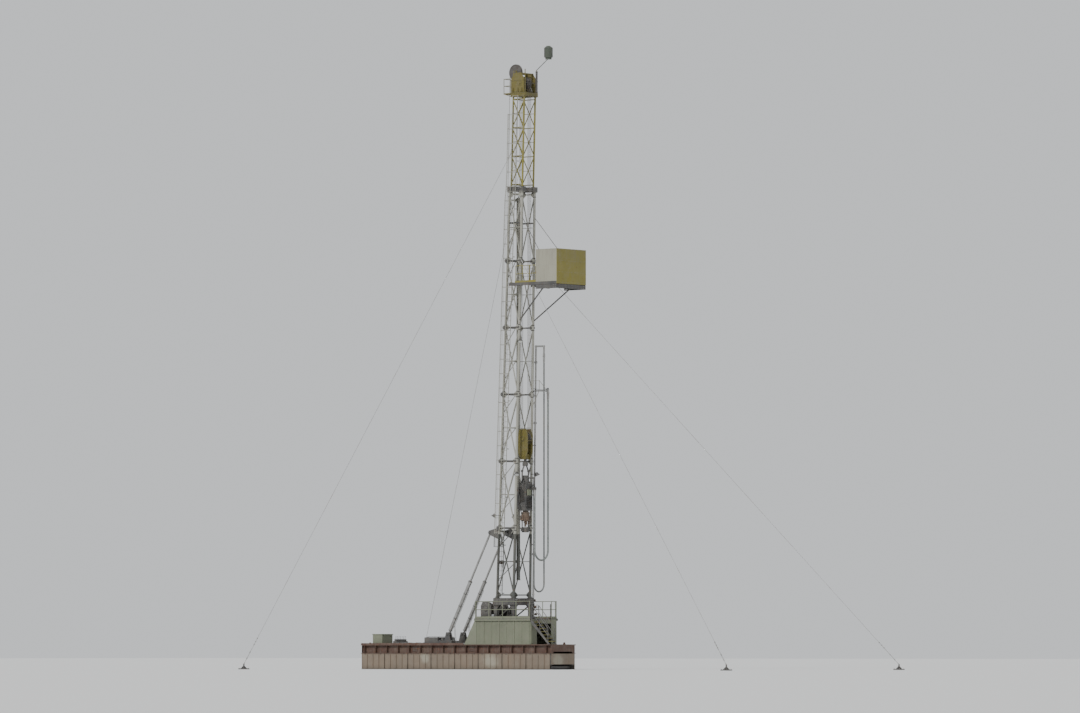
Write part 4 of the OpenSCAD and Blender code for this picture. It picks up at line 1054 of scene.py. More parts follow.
# Drawworks: rope on the drum, brake band, bearing cover, motor fins, guard mesh and hoses
def drawworks():
    sizes = {"Width": LINE_D, "Radius": DRUM_R + 0.012, "Turns": 38.0, "Span": 1.11}
    start = grid(ACROSS, DRUM.x, -0.555, DRUM.z, 1.0, ALONG)
    at_places("drum_rope", WRAPS, start, sizes, "bare_steel", RIG, "drilling_rope")
    band, brake = Shape(), vec(DRUM.x, -0.68, DRUM.z)
    band.hoop(brake, ACROSS, 0.405, 0.03, 48, 8)
    for c in round_about(brake, ACROSS, 0.43, 12):
        band.cube(c, (0.022, 0.05, 0.022))
    band.tube(moved(brake, ((0.42, 0, 0.1), (0.52, 0, -0.12), (0.52, 0, FLOOR_Z + 0.02 - DRUM.z))), 0.025, 8)
    band.piece("drawworks_brake_band", "cast")
    case = Shape()
    outline = ((-0.36, -0.45), (0.36, -0.45), (0.36, 0.08), (0.16, 0.4), (-0.2, 0.4), (-0.36, 0.14))
    case.side_plate(-0.862, [(DRUM.x + x, DRUM.z + z) for x, z in outline], -0.012)
    hub = [(0, 0.17), (0.03, 0.17), (0.035, 0.15), (0.07, 0.12), (0.075, 0.05)]
    case.turned((DRUM.x, -0.86, DRUM.z), -ACROSS, hub, 28)
    case.piece("drawworks_bearing_cover", "dark_steel", bevel=0.004)
    fins = []
    for x in row(DRUM.x - 0.34, 0.0324, 22):
        fins += grid(UP, x, 1.186, FLOOR_Z + 0.31, 0.52, ALONG)
        fins += grid(ACROSS, x, 1.02, FLOOR_Z + 0.63, 0.28, ALONG)
    flat_bars("drawworks_motor_fins", fins, 0.008, 0.024, "dark_steel")
    bolts = bolt_ring((DRUM.x, -0.89, DRUM.z), -ACROSS, 0.145, 10)
    for y in (-0.74, 0.74):
        bolts += grid(UP, (-2.86, -2.7, -2.3, -2.14), y, FLOOR_Z + 0.13)
    around = ((-0.3, 0.1), (0.3, 0.05), (-0.3, -0.38), (0.3, -0.38), (0, 0.35), (0, -0.42))
    bolts += [((DRUM.x + dx, -0.874, DRUM.z + dz), -ACROSS) for dx, dz in around]
    bolt_heads("drawworks_bolts", bolts, 0.03, 0.02, 0.045, 12)
    guard, frame_bars = DRUM.x - 0.47, Shape()
    mesh = grid(UP, guard, row(-0.72, 0.045, 33), FLOOR_Z + 0.5, 0.72, ALONG)
    mesh += grid(ACROSS, guard - 0.004, 0, row(FLOOR_Z + 0.15, 0.05, 15), 1.46, ALONG)
    round_bars("drawworks_guard_mesh", mesh, 0.006, "dark_steel")
    for h in (0.13, 0.87):
        frame_bars.block(guard, 0, FLOOR_Z, 0.015, 0.745, h - 0.02, h + 0.02)
    for y in (-0.725, 0, 0.725):
        frame_bars.block(guard, y, FLOOR_Z, 0.015, 0.02, 0, 0.87)
    frame_bars.piece("drawworks_guard_frame", "brown", bevel=0.002)
    lines = Shape()
    for k, y in enumerate(row(0.9, 0.07, 4)):
        drop = 0.05 * k
        run = ((0.38, 0, 0.45 - drop), (0.46, 0, 0.45 - drop), (0.52, 0, 0.36 - drop), (0.54, 0, 0.12),
               (0.6, -0.02, 0.03), (1.1, -0.02, 0.022))
        lines.tube(moved((DRUM.x, y, FLOOR_Z), run), 0.016, 8)
    lines.piece("drawworks_hydraulic_hoses", "hose_rubber", smooth=60)


drawworks()


# Mast: node gussets, leg bands, flanges at the foot and the collar, thin struts
GUSSET = ((0.06, -0.21), (0.12, -0.21), (0.30, -0.06), (0.30, 0.06), (0.12, 0.21), (0.06, 0.21))


def mast_fittings():
    gussets, bands, flanges, bolts = Shape(), Shape(), Shape(), []
    for side, end in CORNERS:
        for i in range(BAYS + 1):
            c = leg_at(side, end, level(i))
            gussets.plate(moved(c, [(-end * s, -0.007, h) for s, h in GUSSET]), ACROSS * 0.014)
            if end < 0:
                gussets.plate(moved(c, [(-0.007, -side * s, h) for s, h in GUSSET]), ALONG * 0.014)
            if i:
                up = (leg_at(side, end, level(i) + 1) - c).normalized()
                for k in (-0.16, 0.16):
                    bands.band(c + up * k, up, 0.025, 0.093, 0.1, sides=16)
        foot = leg_at(side, end, FOOT_Z)
        bolts += bolt_ring(foot + UP * 0.03, UP, 0.108, 8, 0.39)
        flanges.fins(foot, ((0.075, 0.03), (0.125, 0.03), (0.075, 0.17)), 0.006)
        bolts += bolt_ring(leg_at(side, end, COLLAR_Z - COLLAR_H / 2 - 0.03), -UP, 0.11, 8, 0.39)
        pin = top_leg_at(side, end, COLLAR_Z + 0.08)
        flanges.tube([pin + OUT[side] * 0.105, pin + OUT[side] * 0.19], 0.03, 12)
    gussets.piece("mast_node_gussets", "mast_white", coat="mast_two_coats", bevel=0.002)
    bands.piece("mast_leg_bands", "dark_steel")
    flanges.piece("mast_foot_gussets_and_collar_pins", "mast_white", coat="mast_two_coats", bevel=0.002)
    bolt_heads("mast_flange_bolts", bolts, 0.034, 0.024, 0.046, 7, "dark_steel")
    low = []
    for i in range(BAYS):
        z = (level(i) + level(i + 1)) / 2
        for side in SIDES:
            rear, front = leg_at(side, -1, z), leg_at(side, 1, z)
            middle = (rear + front) / 2
            low += [between(rear, middle), between(middle, front)]
        low.append(between(leg_at(-1, -1, z), leg_at(1, -1, z)))
        z = level(i)
        for side in SIDES:
            low.append(between(leg_at(side, -1, z), (leg_at(-side, -1, z) + leg_at(-side, 1, z)) / 2))
    high = []
    for i in range(TOP_BAYS):
        z = (top_level(i) + top_level(i + 1)) / 2
        high += [between(top_leg_at(side, -1, z), top_leg_at(side, 1, z)) for side in SIDES]
    round_bars("mast_struts", low, 0.042, "mast_white", "mast_two_coats")
    round_bars("top_struts", high, 0.034, "rig_yellow")


mast_fittings()

LADDER_W, RUNG_STEP, HOOP_HALF, HOOP_DEEP = 0.42, 0.3, 0.30, 0.52


def ladder_foot(z):
    """The ladder's near rail at a height: beside the rear leg, easing over to the narrower top."""
    join = COLLAR_Z - 0.4
    low = leg_at(-1, -1, min(z, join))
    if z < join:
        return vec(low.x + 0.14, low.y - 0.20, z)
    c = top_leg_at(-1, -1, z)
    t = min((z - join) / 1.2, 1)
    return vec(c.x + 0.14, (low.y - 0.20) * (1 - t) + (c.y - 0.22) * t, z)


def ladder():
    """Ladder up the outside of the near face, from the pedestal to the crown, with safety hoops."""
    rungs, left, right, hoops, rails = [], [], [], Shape(), Shape()
    start = FOOT_Z + 0.2
    count = int((CROWN_Z + 0.1 - start) / RUNG_STEP)
    for i in range(count + 1):
        a = ladder_foot(start + RUNG_STEP * i)
        b = a + ALONG * LADDER_W
        rungs.append(between(a, b))
        if i % 4 == 0 or i == count:
            left.append(a)
            right.append(b)
    rails.tube(left, 0.022, 8)
    rails.tube(right, 0.022, 8)
    for i in range(0, count, 10):
        z = start + RUNG_STEP * i + 0.1
        a = ladder_foot(z)
        inner = -half_w(z) if z < COLLAR_Z else -TOP_W / 2
        for x in (a.x, a.x + LADDER_W):
            rails.box((x - 0.012, a.y, z - 0.025), (x + 0.012, inner, z + 0.025))
    rails.piece("ladder_rails", "mast_white", coat="mast_two_coats", smooth=60)
    round_bars("ladder_rungs", rungs, 0.022, "mast_white", "mast_two_coats")
    rings = []
    for i in range(10, count - 1, 3):
        a = ladder_foot(start + RUNG_STEP * i)
        c = a + vec(LADDER_W / 2, -0.07, 0)
        arch = [(HOOP_HALF * math.cos(t), -HOOP_DEEP * math.sin(t), 0) for t in row(0, math.pi / 14, 15)]
        rings.append(moved(c, arch))
        hoops.tube([a, *reversed(rings[-1]), a + ALONG * LADDER_W], 0.012, 6)
    for k in (2, 4, 6, 8, 10, 12):
        hoops.tube([ring[k] for ring in rings], 0.009, 6)
    hoops.piece("ladder_safety_cage", "mast_white", coat="mast_two_coats", smooth=60)


ladder()


def eased(path, steps=5):
    """A smooth curve through the points of a path."""
    fine = []
    for i in range(len(path) - 1):
        p0, p1, p2, p3 = path[max(i - 1, 0)], path[i], path[i + 1], path[min(i + 2, len(path) - 1)]
        for t in row(0, 1 / steps, steps):
            bend, end = 2 * p0 - 5 * p1 + 4 * p2 - p3, 3 * p1 - p0 - 3 * p2 + p3
            fine.append(0.5 * ((2 * p1) + (p2 - p0) * t + bend * t * t + end * t ** 3))
    return fine + [path[-1]]


def mast_cables():
    """Cable run on the far front leg and the tied bundle over the loop's bracket."""
    cables, ties, stay, over = Shape(), Shape(), Shape(), Shape()
    rng = random.Random(11)
    top = LOOP_A.z + 0.15
    for k in range(6):
        path = []
        for z in row(FLOOR_Z + 0.05, (top - FLOOR_Z) / 27, 28):
            c = leg_at(1, 1, max(z, FOOT_Z))
            jitter = vec(rng.uniform(-0.006, 0.006), rng.uniform(-0.006, 0.006), 0)
            path.append(vec(c.x - 0.12 - 0.035 * (k % 3), c.y + 0.14 + 0.035 * (k // 3), z) + jitter)
        cables.tube(path, 0.013 + 0.003 * (k % 2), 8)
    for z in row(FLOOR_Z + 0.6, 0.58, 24):
        c = leg_at(1, 1, max(z, FOOT_Z))
        ties.box((c.x - 0.22, c.y + 0.11, z - 0.015), (c.x - 0.09, c.y + 0.205, z + 0.015))
    cables.piece("mast_cables", "hose_rubber", smooth=60)
    ties.piece("mast_cable_ties", "bare_steel", bevel=0.003)
    x, y, z = LOOP_A
    leg_y = leg_at(1, 1, z).y
    knee = (x - 0.02, leg_y + 0.02, z + 0.75)
    stay.bar((x - 0.03, leg_y, z + 0.1), (leg_at(1, 1, z - 0.8).x + 0.07, leg_y + 0.01, z - 0.8), 0.05)
    stay.bar((x, y - 0.1, z + 0.14), knee, 0.03)
    stay.bar(knee, (leg_at(1, 1, z + 0.75).x + 0.06, leg_y, z + 0.75), 0.03)
    stay.bar((x - 0.02, leg_y + 0.02, z + 0.1), (x - 0.02, leg_y + 0.02, z + 0.78), 0.04)
    stay.piece("loop_bracket_stays", "mast_white")
    for k in range(6):
        out = 0.03 * (k - 2.5)
        start = leg_at(1, 1, top) + vec(-0.12 - 0.035 * (k % 3), 0.14 + 0.035 * (k // 3), -0.02)
        path = [start, start + vec(0.05, 0, 0.12), vec(x - 0.28, leg_y + 0.12 + 0.02 * k, z + 0.2),
                vec(x + out * 0.4, leg_y + 0.35, z + 0.17), vec(x + out * 0.5, y - 0.2, z + 0.2),
                vec(x + out * 0.5, y, z + 0.3), vec(x + out * 0.5, y + 0.02, z + 0.16)]
        over.tube(eased(path), 0.013, 8)
    over.piece("loop_bracket_cables", "hose_rubber", smooth=60)


FLOODLIGHTS = ((1, 1, 12.2, (0.35, 0.35, -1)), (-1, 1, 12.2, (0.35, -0.35, -1)),
               (-1, 1, 20.5, (0.4, -0.3, -1)), (-1, -1, 9.6, (-0.5, -0.4, -1)), (1, -1, 9.6, (-0.5, 0.4, -1)))
LAMP_SHADE = ((-0.10, 0.05), (-0.08, 0.085), (0.0, 0.1), (0.09, 0.155), (0.1, 0.165), (0.12, 0.165),
              (0.12, 0.14))


def mast_floodlights():
    """Floodlights on the legs, aimed at the floor and the deck."""
    lamps, glass = Shape(), Shape()
    for side, end, z, way in FLOODLIGHTS:
        c, way = leg_at(side, end, z), Vector(way).normalized()
        out = vec(way.x, way.y, 0).normalized()
        hub = c + out * 0.34
        lamps.bar(c + out * 0.06, hub, 0.035)
        lamps.turned(hub + UP * 0.02, way, LAMP_SHADE, 20)
        glass.turned(hub + UP * 0.02, way, [(0.112, 0.142), (0.124, 0.138), (0.132, 0.08), (0.134, 0.01)], 20)
        lamps.hoop(c, UP, 0.095, 0.02, 16, 6)
    lamps.piece("floodlight_bodies", "dark_steel")
    glass.piece("floodlight_lenses", "bare_steel", coat="lamp_glass")


mast_cables()
mast_floodlights()


# Racking board: grating, finger latches, wall ribs and screws, handrails, chains, lamps and bracing
BOARD_TOP = BOARD_Z + BOARD_T
BOARD_BACK = BOARD_FRONT - BOARD_WALL_L
FINGERS = row(2.11, 0.212, 6)
RAIL_HEIGHTS = (0.55, 1.05)


def board_floor():
    slats, cross, gate = [], [], BOARD_FRONT - 0.47
    for x0, x1, ys, ties, wide in (
            (gate, BOARD_FRONT - 0.04, row(-1.27, 0.0353, 73), row(gate + 0.04, 0.088, 5), 2.55),
            (1.02, gate - 0.01, row(-0.25, 0.0357, 15), row(1.05, 0.095, 24), 0.51)):
        slats += grid(ALONG, (x0 + x1) / 2, ys, BOARD_TOP + 0.046, x1 - x0, UP)
        cross += grid(ACROSS, ties, 0, BOARD_TOP + 0.052, wide, UP)
    flat_bars("board_grating", slats, 0.012, 0.005, "dark_steel")
    round_bars("board_grating_ties", cross, 0.006, "dark_steel")
    latches, bolts = Shape(), []
    for side in SIDES:
        for x in FINGERS:
            for y in row(0.42, 0.24, 4):
                latches.block(x + 0.035, side * y, BOARD_TOP, 0.023, 0.012, 0.09, 0.125)
                half = 0.0725 if x < FINGERS[-1] else 0.0325
                latches.block(x + 0.045 + half, side * y, BOARD_TOP, half, 0.008, 0.1, 0.116)
                bolts.append(((x + 0.035, side * y, BOARD_TOP + 0.125), UP))
            latches.block(x + 0.035, side * 0.302, BOARD_TOP, 0.039, 0.01, 0, 0.1)
    latches.piece("finger_latches", "bare_steel", bevel=0.002)
    for side in SIDES:
        bolts += grid(UP, [x + 0.035 for x in FINGERS], (side * 1.27, side * 1.33), BOARD_TOP + 0.09)
    bolt_heads("finger_bolts", bolts, 0.022, 0.014, 0.032, 3, "dark_steel")


def board_walls():
    ribs, yellow, screws = Shape(), Shape(), []
    z0, z1 = BOARD_TOP + 0.02, BOARD_Z + BOARD_WALL_H + 0.14
    for side in SIDES:
        y = side * BOARD_HALF
        for x in row(BOARD_BACK + 0.05, 0.0985, 17):
            if min(abs(x - post) for post in (2.08, 2.89, 3.67)) > 0.05:
                ribs.box((x - 0.017, y - side * 0.0405, z0), (x + 0.017, y - side * 0.054, z1))
        for z in (z0, z1 - 0.06):
            ribs.box((BOARD_BACK, y - side * 0.0405, z), (BOARD_FRONT - 0.03, y - side * 0.06, z + 0.06))
        ribs.box((BOARD_BACK - 0.012, y, z0 - 0.02), (BOARD_BACK, y - side * 0.06, z1))
        screws += grid(OUT[side], row(BOARD_BACK + 0.07, 0.14, 12), y, (z0 + 0.05, (z0 + z1) / 2, z1 - 0.04))
    for y in row(-1.32, 0.0978, 28):
        yellow.box((BOARD_FRONT - 0.0305, y - 0.017, BOARD_Z + 0.1), (BOARD_FRONT - 0.044, y + 0.017, z1))
    heights = (BOARD_Z + 0.1, BOARD_Z + 0.75, BOARD_Z + 1.45, z1 - 0.04)
    screws += grid(ALONG, BOARD_FRONT, row(-1.3, 0.1444, 19), heights)
    yellow.block(BOARD_FRONT - 0.06, 0, z1, 0.03, BOARD_HALF - 0.06, -0.05, 0.01)
    # Side ribs in cream: white paint greyed with painted shade
    ribs.piece("board_side_ribs", "cream", bevel=0.002)
    yellow.piece("board_front_ribs", "rig_yellow", bevel=0.002)
    bolt_heads("board_wall_screws", screws, 0.018, 0.009, 0.03, 8)


def board_rails_and_lamps():
    rails, chains, lamps, glass, bracing = Shape(), [], Shape(), Shape(), []
    for side in SIDES:
        for y, posts, low in ((0.27, (1.06, 1.53, 2.0), 0.02), (1.34, (0.35, 0.9, 1.46, 2.03), 0)):
            for h in RAIL_HEIGHTS:
                rails.bar((posts[0], side * y, BOARD_TOP + h), (posts[-1], side * y, BOARD_TOP + h), 0.04)
            for x in posts:
                rails.bar((x, side * y, BOARD_TOP + low), (x, side * y, BOARD_TOP + 1.07), 0.045)
        rails.block(1.185, side * 1.4, BOARD_TOP, 0.855, 0.004, 0, 0.12)
        for h in (0.55, 1.0):
            a, b = vec(1.06, side * 0.27, BOARD_TOP + h), vec(0.35, side * 1.34, BOARD_TOP + h)
            chains.append([a.lerp(b, t) - UP * 0.14 * math.sin(math.pi * t) for t in row(0, 0.1, 11)])
        hub = vec(2.6, side * 0.9, BOARD_Z - 0.08)
        way = vec(-0.25, -0.2 * side, -1).normalized()
        lamps.bar(hub + UP * 0.1, hub, 0.04)
        lamps.bar(hub + UP * 0.11, (2.6, side * 1.3, BOARD_Z + 0.03), 0.04)
        lamps.turned(hub, way, [(-0.04, 0.05), (0.0, 0.085), (0.12, 0.15), (0.14, 0.15), (0.14, 0.13)], 20)
        glass.turned(hub, way, [(0.13, 0.132), (0.145, 0.125), (0.15, 0.02)], 20)
        for xa, ya, xb, yb, h in ((0.9, 1.3, 2.1, 0.3, 0.06), (2.17, 1.28, 3.6, 0.1, 0.06),
                                  (2.17, 0.1, 3.6, 1.28, 0.06), (2.1, 0.45, 3.65, 0.45, 0.13),
                                  (2.1, 0.95, 3.65, 0.95, 0.13)):
            bracing.append(between((xa, side * ya, BOARD_Z + h), (xb, side * yb, BOARD_Z + h)))
    rails.piece("board_handrails", "rig_yellow", smooth=60)
    along_lines("board_safety_chains", CHAIN, chains, {"Link": 0.07, "Width": 0.012}, "bare_steel")
    lamps.piece("board_lamps", "dark_steel")
    glass.piece("board_lamp_lenses", "bare_steel", coat="lamp_glass")
    round_bars("board_under_bracing", bracing, 0.045, "dark_steel")


board_floor()
board_walls()
board_rails_and_lamps()


# Guide rail: the beam that keeps the top drive from turning, its struts, and the drive's carriage
GUIDE_FACE, GUIDE_LOW, GUIDE_HIGH = -0.50, 5.6, COLLAR_Z - 0.5


def guide_rail():
    beam, bolts, struts, x = Shape(), [], [], GUIDE_FACE
    for back, front, half in ((0.015, 0, 0.1), (0.125, 0.015, 0.01), (0.14, 0.125, 0.1)):
        beam.box((x - back, -half, GUIDE_LOW), (x - front, half, GUIDE_HIGH))
    for i, z in enumerate([level(k / 2) for k in range(1, 12)] + [level(6) - 0.35]):
        beam.block(x - 0.15, 0, z, 0.01, 0.13, -0.09, 0.09)
        for side in SIDES:
            beam.block(x - 0.2225, side * 0.1, z, 0.0575, 0.012, -0.07, 0.07)
            leg = leg_at(side, -1, z)
            struts.append(between((x - 0.22, side * 0.1, z), (leg.x + 0.07, leg.y - side * 0.02, z)))
            struts.append(between((x - 0.22, side * 0.1, z - 0.04), leg_at(side, -1, z - 1.2)))
            for h in (-0.06, 0.06):
                bolts.append(((x - 0.14, side * 0.08, z + h), ALONG))
                bolts.append(((x - 0.25, side * 0.112, z + h * 0.6), OUT[side]))
        if i % 2:
            beam.box((x - 0.115, 0.012, z - 0.25), (x - 0.03, 0.024, z + 0.25))
    beam.box((x - 0.13, -0.14, GUIDE_LOW - 0.03), (x + 0.02, 0.14, GUIDE_LOW))
    beam.piece("guide_rail", "mast_white", coat="mast_two_coats", bevel=0.002)
    round_bars("guide_rail_struts", struts, 0.05, "mast_white", "mast_two_coats")
    bolt_heads("guide_rail_bolts", bolts, 0.024, 0.016, 0.034, 3, "dark_steel")
    carriage = Shape()
    low, high = DRIVE_BOTTOM + 0.2, DRIVE_TOP - 0.35
    for side in SIDES:
        outline = [(x - 0.1, low), (-0.31, low - 0.06), (-0.31, high + 0.06), (x - 0.1, high)]
        carriage.side_plate(side * 0.115, outline, side * 0.018)
        for z in (low + 0.12, high - 0.12):
            pin = [(0, 0.012), (0.002, 0.034), (0.06, 0.034), (0.062, 0.012), (0.105, 0.012)]
            carriage.turned((x - 0.055, side * 0.03, z), OUT[side], pin, 16)
            head = [(0, 0.034), (0.01, 0.034), (0.013, 0.015)]
            carriage.turned((x - 0.055, side * 0.133, z), OUT[side], head, 12)
            roller = [(0, 0.043), (0.093, 0.043), (0.095, 0.02)]
            carriage.turned((x + 0.05, side * 0.02, z - 0.14), OUT[side], roller, 16)
    for z in (low, (low + high) / 2, high):
        carriage.block(-0.335, 0, z, 0.025, 0.115, -0.03, 0.03)
    carriage.piece("drive_carriage", "dark_steel", BLOCK, bevel=0.002)


guide_rail()


def leg_brackets():
    """Dark saddles and rear lugs where the bays meet on the rear legs, and small lugs on the front legs."""
    dark, bolts = Shape(), []
    for side in SIDES:
        for i in range(1, BAYS):
            c, f = leg_at(side, -1, level(i)), leg_at(side, 1, level(i))
            x, y, z = c
            dark.box((x - 0.115, y - 0.115, z - 0.12), (x + 0.05, y + 0.115, z + 0.12))
            lug = [(x - 0.115, z - 0.1), (x - 0.27, z - 0.03), (x - 0.27, z + 0.06), (x - 0.115, z + 0.1)]
            dark.side_plate(y - 0.012, lug, 0.024)
            dark.box((x - 0.115, y + side * 0.115, z - 0.1), (x + 0.03, y + side * 0.15, z + 0.1))
            for h in (-0.07, 0.07):
                bolts += grid(OUT[side], (x - 0.085, x), y + side * 0.15, z + h)
                bolts.append(((x - 0.115, y + side * 0.07, z + h), -ALONG))
            dark.box((f.x - 0.03, f.y + side * 0.09, z - 0.07), (f.x + 0.05, f.y + side * 0.12, z + 0.07))
            bolts.append(((f.x + 0.01, f.y + side * 0.12, z), OUT[side]))
    dark.piece("leg_saddles", "dark_steel", bevel=0.003)
    bolt_heads("leg_saddle_bolts", bolts, 0.026, 0.018, 0.036, 8)


leg_brackets()


# Dead line anchor on the near rear leg, with its wraps, clamp and crown pin
def dead_line_anchor():
    drum, wraps = Shape(), Shape()
    c = DEAD_DRUM - ACROSS * 0.08
    leg = dead_leg
    profile = [(0, 0.04), (0.002, 0.13), (0.018, 0.13), (0.02, 0.094), (0.14, 0.094), (0.142, 0.13),
               (0.158, 0.13), (0.16, 0.05), (0.19, 0.045), (0.192, 0.02)]
    drum.turned(c, ACROSS, profile, 28)
    drum.box((leg.x, leg.y, c.z - 0.06), (c.x + 0.03, leg.y + 0.098, c.z + 0.06))
    for low in (-0.11, 0.07):
        drum.block(leg.x + 0.04, leg.y, c.z, 0.06, 0.11, low, low + 0.04)
    drum.block(c.x + 0.105, c.y + 0.06, c.z, 0.02, 0.03, -0.22, -0.13)
    drum.turned((-LINE_R, -0.40, CROWN_AXIS), ACROSS, [(0, 0.045), (0.17, 0.045)], 16)
    drum.piece("dead_line_anchor", "cast", bevel=0.002)
    for y in row(0.036, 0.03, 4):
        wraps.hoop(c + ACROSS * y, ACROSS, 0.108, 0.026, 32, 8)
    tail = ((0.108, 0.05, 0), (0.106, 0.055, -0.1), (0.105, 0.06, -0.3), (0.06, 0.07, -0.42),
            (0.0, 0.075, -0.3), (-0.03, 0.08, -0.12), (-0.03, 0.09, 0.02))
    wraps.tube(moved(c, tail), 0.013, 8)
    wraps.piece("dead_line_wraps", "bare_steel", coat="drilling_rope", smooth=60)


dead_line_anchor()


# Pedestal: foot plates, flange strips, ribs and gussets round the four posts
def pedestal_fittings():
    x0, x1 = axis_x(FOOT_Z) - half_d(FOOT_Z) - 0.19, axis_x(FOOT_Z) + half_d(FOOT_Z) + 0.19
    base, top = FLOOR_Z + 0.04, FOOT_Z - 0.44
    steel, bolts = Shape(), []
    for side in SIDES:
        y = side * half_w(FOOT_Z)
        for post, inner, way in ((x0 + 0.02, x0 + 0.26, 1), (x1 - 0.26, x1 - 0.26, -1)):
            steel.block(post + 0.12, y, base, 0.17, 0.17, 0, 0.024)
            bolts += grid(UP, (post - 0.02, post + 0.12, post + 0.26), (y - 0.145, y + 0.145), base + 0.024)
            for face in SIDES:
                for x in (post + 0.024, post + 0.204):
                    corner = ((0, 0, 0.024), (0, face * 0.045, 0.024), (0, 0, 0.2))
                    steel.plate(moved((x, y + face * 0.12, base), corner), ALONG * 0.012)
                corner = [(inner, top), (inner + way * 0.2, top), (inner, top - 0.22)]
                steel.side_plate(y + face * 0.1 - 0.006, corner, 0.012)
        for face in SIDES:
            for z in (top, FOOT_Z - 0.016):
                steel.box((x0, y + face * 0.17, z), (x1, y + face * 0.186, z + 0.016))
            for x in row(x0 + 0.16, 0.28, 6):
                steel.block(x, y + face * 0.176, 0, 0.006, 0.006, top + 0.016, FOOT_Z - 0.016)
        bolts += [((x, py, top + h), AHEAD[way]) for py in row(y - 0.12, 0.08, 4) for h in (0.09, 0.22, 0.35)
                  for x, way in ((x0, -1), (x1, 1))]
    steel.piece("pedestal_plates_and_ribs", "dark_steel", bevel=0.002)
    bolt_heads("pedestal_bolts", bolts, 0.034, 0.024, 0.05, 12)


pedestal_fittings()


# Under the floor: bell nipple on the well centre, its flow line and the braces between the walls
def under_floor():
    pipe, braces = Shape(), Shape()
    low, high = DECK_Z + 0.005, FLOOR_Z - 0.14
    tall = high - low
    conductor = [(0, 0.42), (0.05, 0.42), (0.06, 0.26), (low - 0.05, 0.26), (low - 0.04, 0.2)]
    pipe.turned((0, 0, 0.004), UP, conductor, 36)
    profile = [(-0.07, 0.36), (-0.01, 0.36), (-0.006, 0.27), (0.0, 0.36), (0.06, 0.36), (0.06, 0.25),
               (0.55, 0.25), (0.55, 0.34), (0.60, 0.34), (0.605, 0.26), (0.61, 0.34), (0.66, 0.34),
               (0.66, 0.25), (tall - 0.05, 0.25), (tall - 0.05, 0.29), (tall, 0.29), (tall, 0.235),
               (0.05, 0.235)]
    pipe.turned((0, 0, low), UP, profile, 36)
    pipe.tube([(x, 0, low + h) for x, h in ((-0.2, 1.0), (-0.7, 0.97), (-1.6, 0.9), (-2.6, 0.8))], 0.11, 20)
    joint = [(-0.05, 0.16), (-0.006, 0.16), (-0.004, 0.12), (0.004, 0.12), (0.006, 0.16), (0.05, 0.16)]
    pipe.turned((-1.2, 0, low + 0.933), (-1, 0, -0.075), joint, 24)
    pipe.piece("bell_nipple_and_flow_line", "brown", bevel=0.002)
    bolts = flange_bolts((0, 0, low), (0.66, 0.55, 0.06, -0.07), 0.305, 16)
    bolt_heads("bell_nipple_bolts", bolts, 0.03, 0.03, 0.04, 6)
    for x in (-2.4, 0.95):
        for y, dx in ((-1.16, 0), (1.16, 0.09)):
            braces.bar((x + dx, y, DECK_Z + 0.1), (x + dx, -y, FLOOR_Z - 0.2), 0.08)
    for x in (-2.2, -1.3, 0.7):
        braces.block(x, 0, FLOOR_Z, 0.05, 1.2, -0.13, -0.005)
    braces.piece("floor_joists_and_braces", "green_grey", bevel=0.002)


under_floor()


# Outriggers of the racking board: tread bars, toe plates and bolts to the mast clamp
def board_outriggers():
    slats, plates, bolts = [], Shape(), []
    z = BOARD_TOP - 0.02
    inner, outer = half_w(BOARD_Z) + 0.085, BOARD_HALF - 0.13
    for side in SIDES:
        c = leg_at(side, 1, BOARD_Z + BOARD_T / 2)
        middle, wide = side * (inner + outer) / 2, outer - inner - 0.02
        slats += grid(ACROSS, row(c.x - 0.28, 0.043, 14), middle, z + 0.008, wide, UP)
        plates.box((c.x - 0.3, side * inner, z), (c.x - 0.288, side * outer, z + 0.07))
        face = side * (inner + 0.012)
        plates.box((c.x - 0.1, side * (inner - 0.005), z - 0.13), (c.x + 0.11, face, z + 0.05))
        bolts += grid(OUT[side], (c.x - 0.075, c.x + 0.085), face, (z - 0.1, z + 0.02))
        for y in row(inner + 0.06, 0.08, 6):
            bolts += [((c.x + end * 0.3, side * y, z - 0.06), AHEAD[end]) for end in SIDES]
    flat_bars("board_outrigger_bars", slats, 0.012, 0.016, "dark_steel")
    plates.piece("board_outrigger_plates", "rig_yellow", bevel=0.002)
    bolt_heads("board_outrigger_bolts", bolts, 0.028, 0.018, 0.04, 15)


board_outriggers()


def board_under_channels():
    """Channels hung under the sides and the front of the board, with ribs and bolts; their dark steel is
    partly the framing's own dark and partly painted shade under the board.
    """
    channels, bolts = Shape(), []
    low, top, out, flange, web = BOARD_Z - 0.26, BOARD_Z - 0.002, BOARD_HALF - 0.01, 0.09, 0.012
    back, front = BOARD_BACK, BOARD_FRONT - web
    bolt_heights = (low + 0.06, top - 0.05)
    for side in SIDES:
        channels.box((back, side * (out - web), low), (front, side * out, top))
        for z in (low, top - web):
            channels.box((back, side * (out - flange), z), (front, side * out, z + web))
        for k, x in enumerate(row(back + web, (front - back - 0.05) / 5, 6)):
            inner = side * (out - flange + 0.004)
            channels.box((x, inner, low + web), (x + web, side * (out - web), top - web))
            bolts += grid(OUT[side], x + (0.08 if k < 5 else -0.06), side * out, bolt_heights)
    channels.box((front - web, -out, low), (front, out, top))
    for z in (low, top - web):
        channels.box((front - flange, -out + flange, z), (front, out - flange, z + web))
    for k, y in enumerate(row(-out + 0.15, (2 * out - 0.3) / 8, 9)):
        channels.box((front - flange + 0.004, y, low + web), (front - web, y + web, top - web))
        bolts += grid(ALONG, front, y + (0.07 if k < 8 else -0.06), bolt_heights)
    # The dark steel here also stands for the shade under the board: painted shade
    channels.piece("board_under_channels", "dark_steel", bevel=0.002)
    bolt_heads("board_channel_bolts", bolts, 0.03, 0.012, 0.042, 21)


board_under_channels()


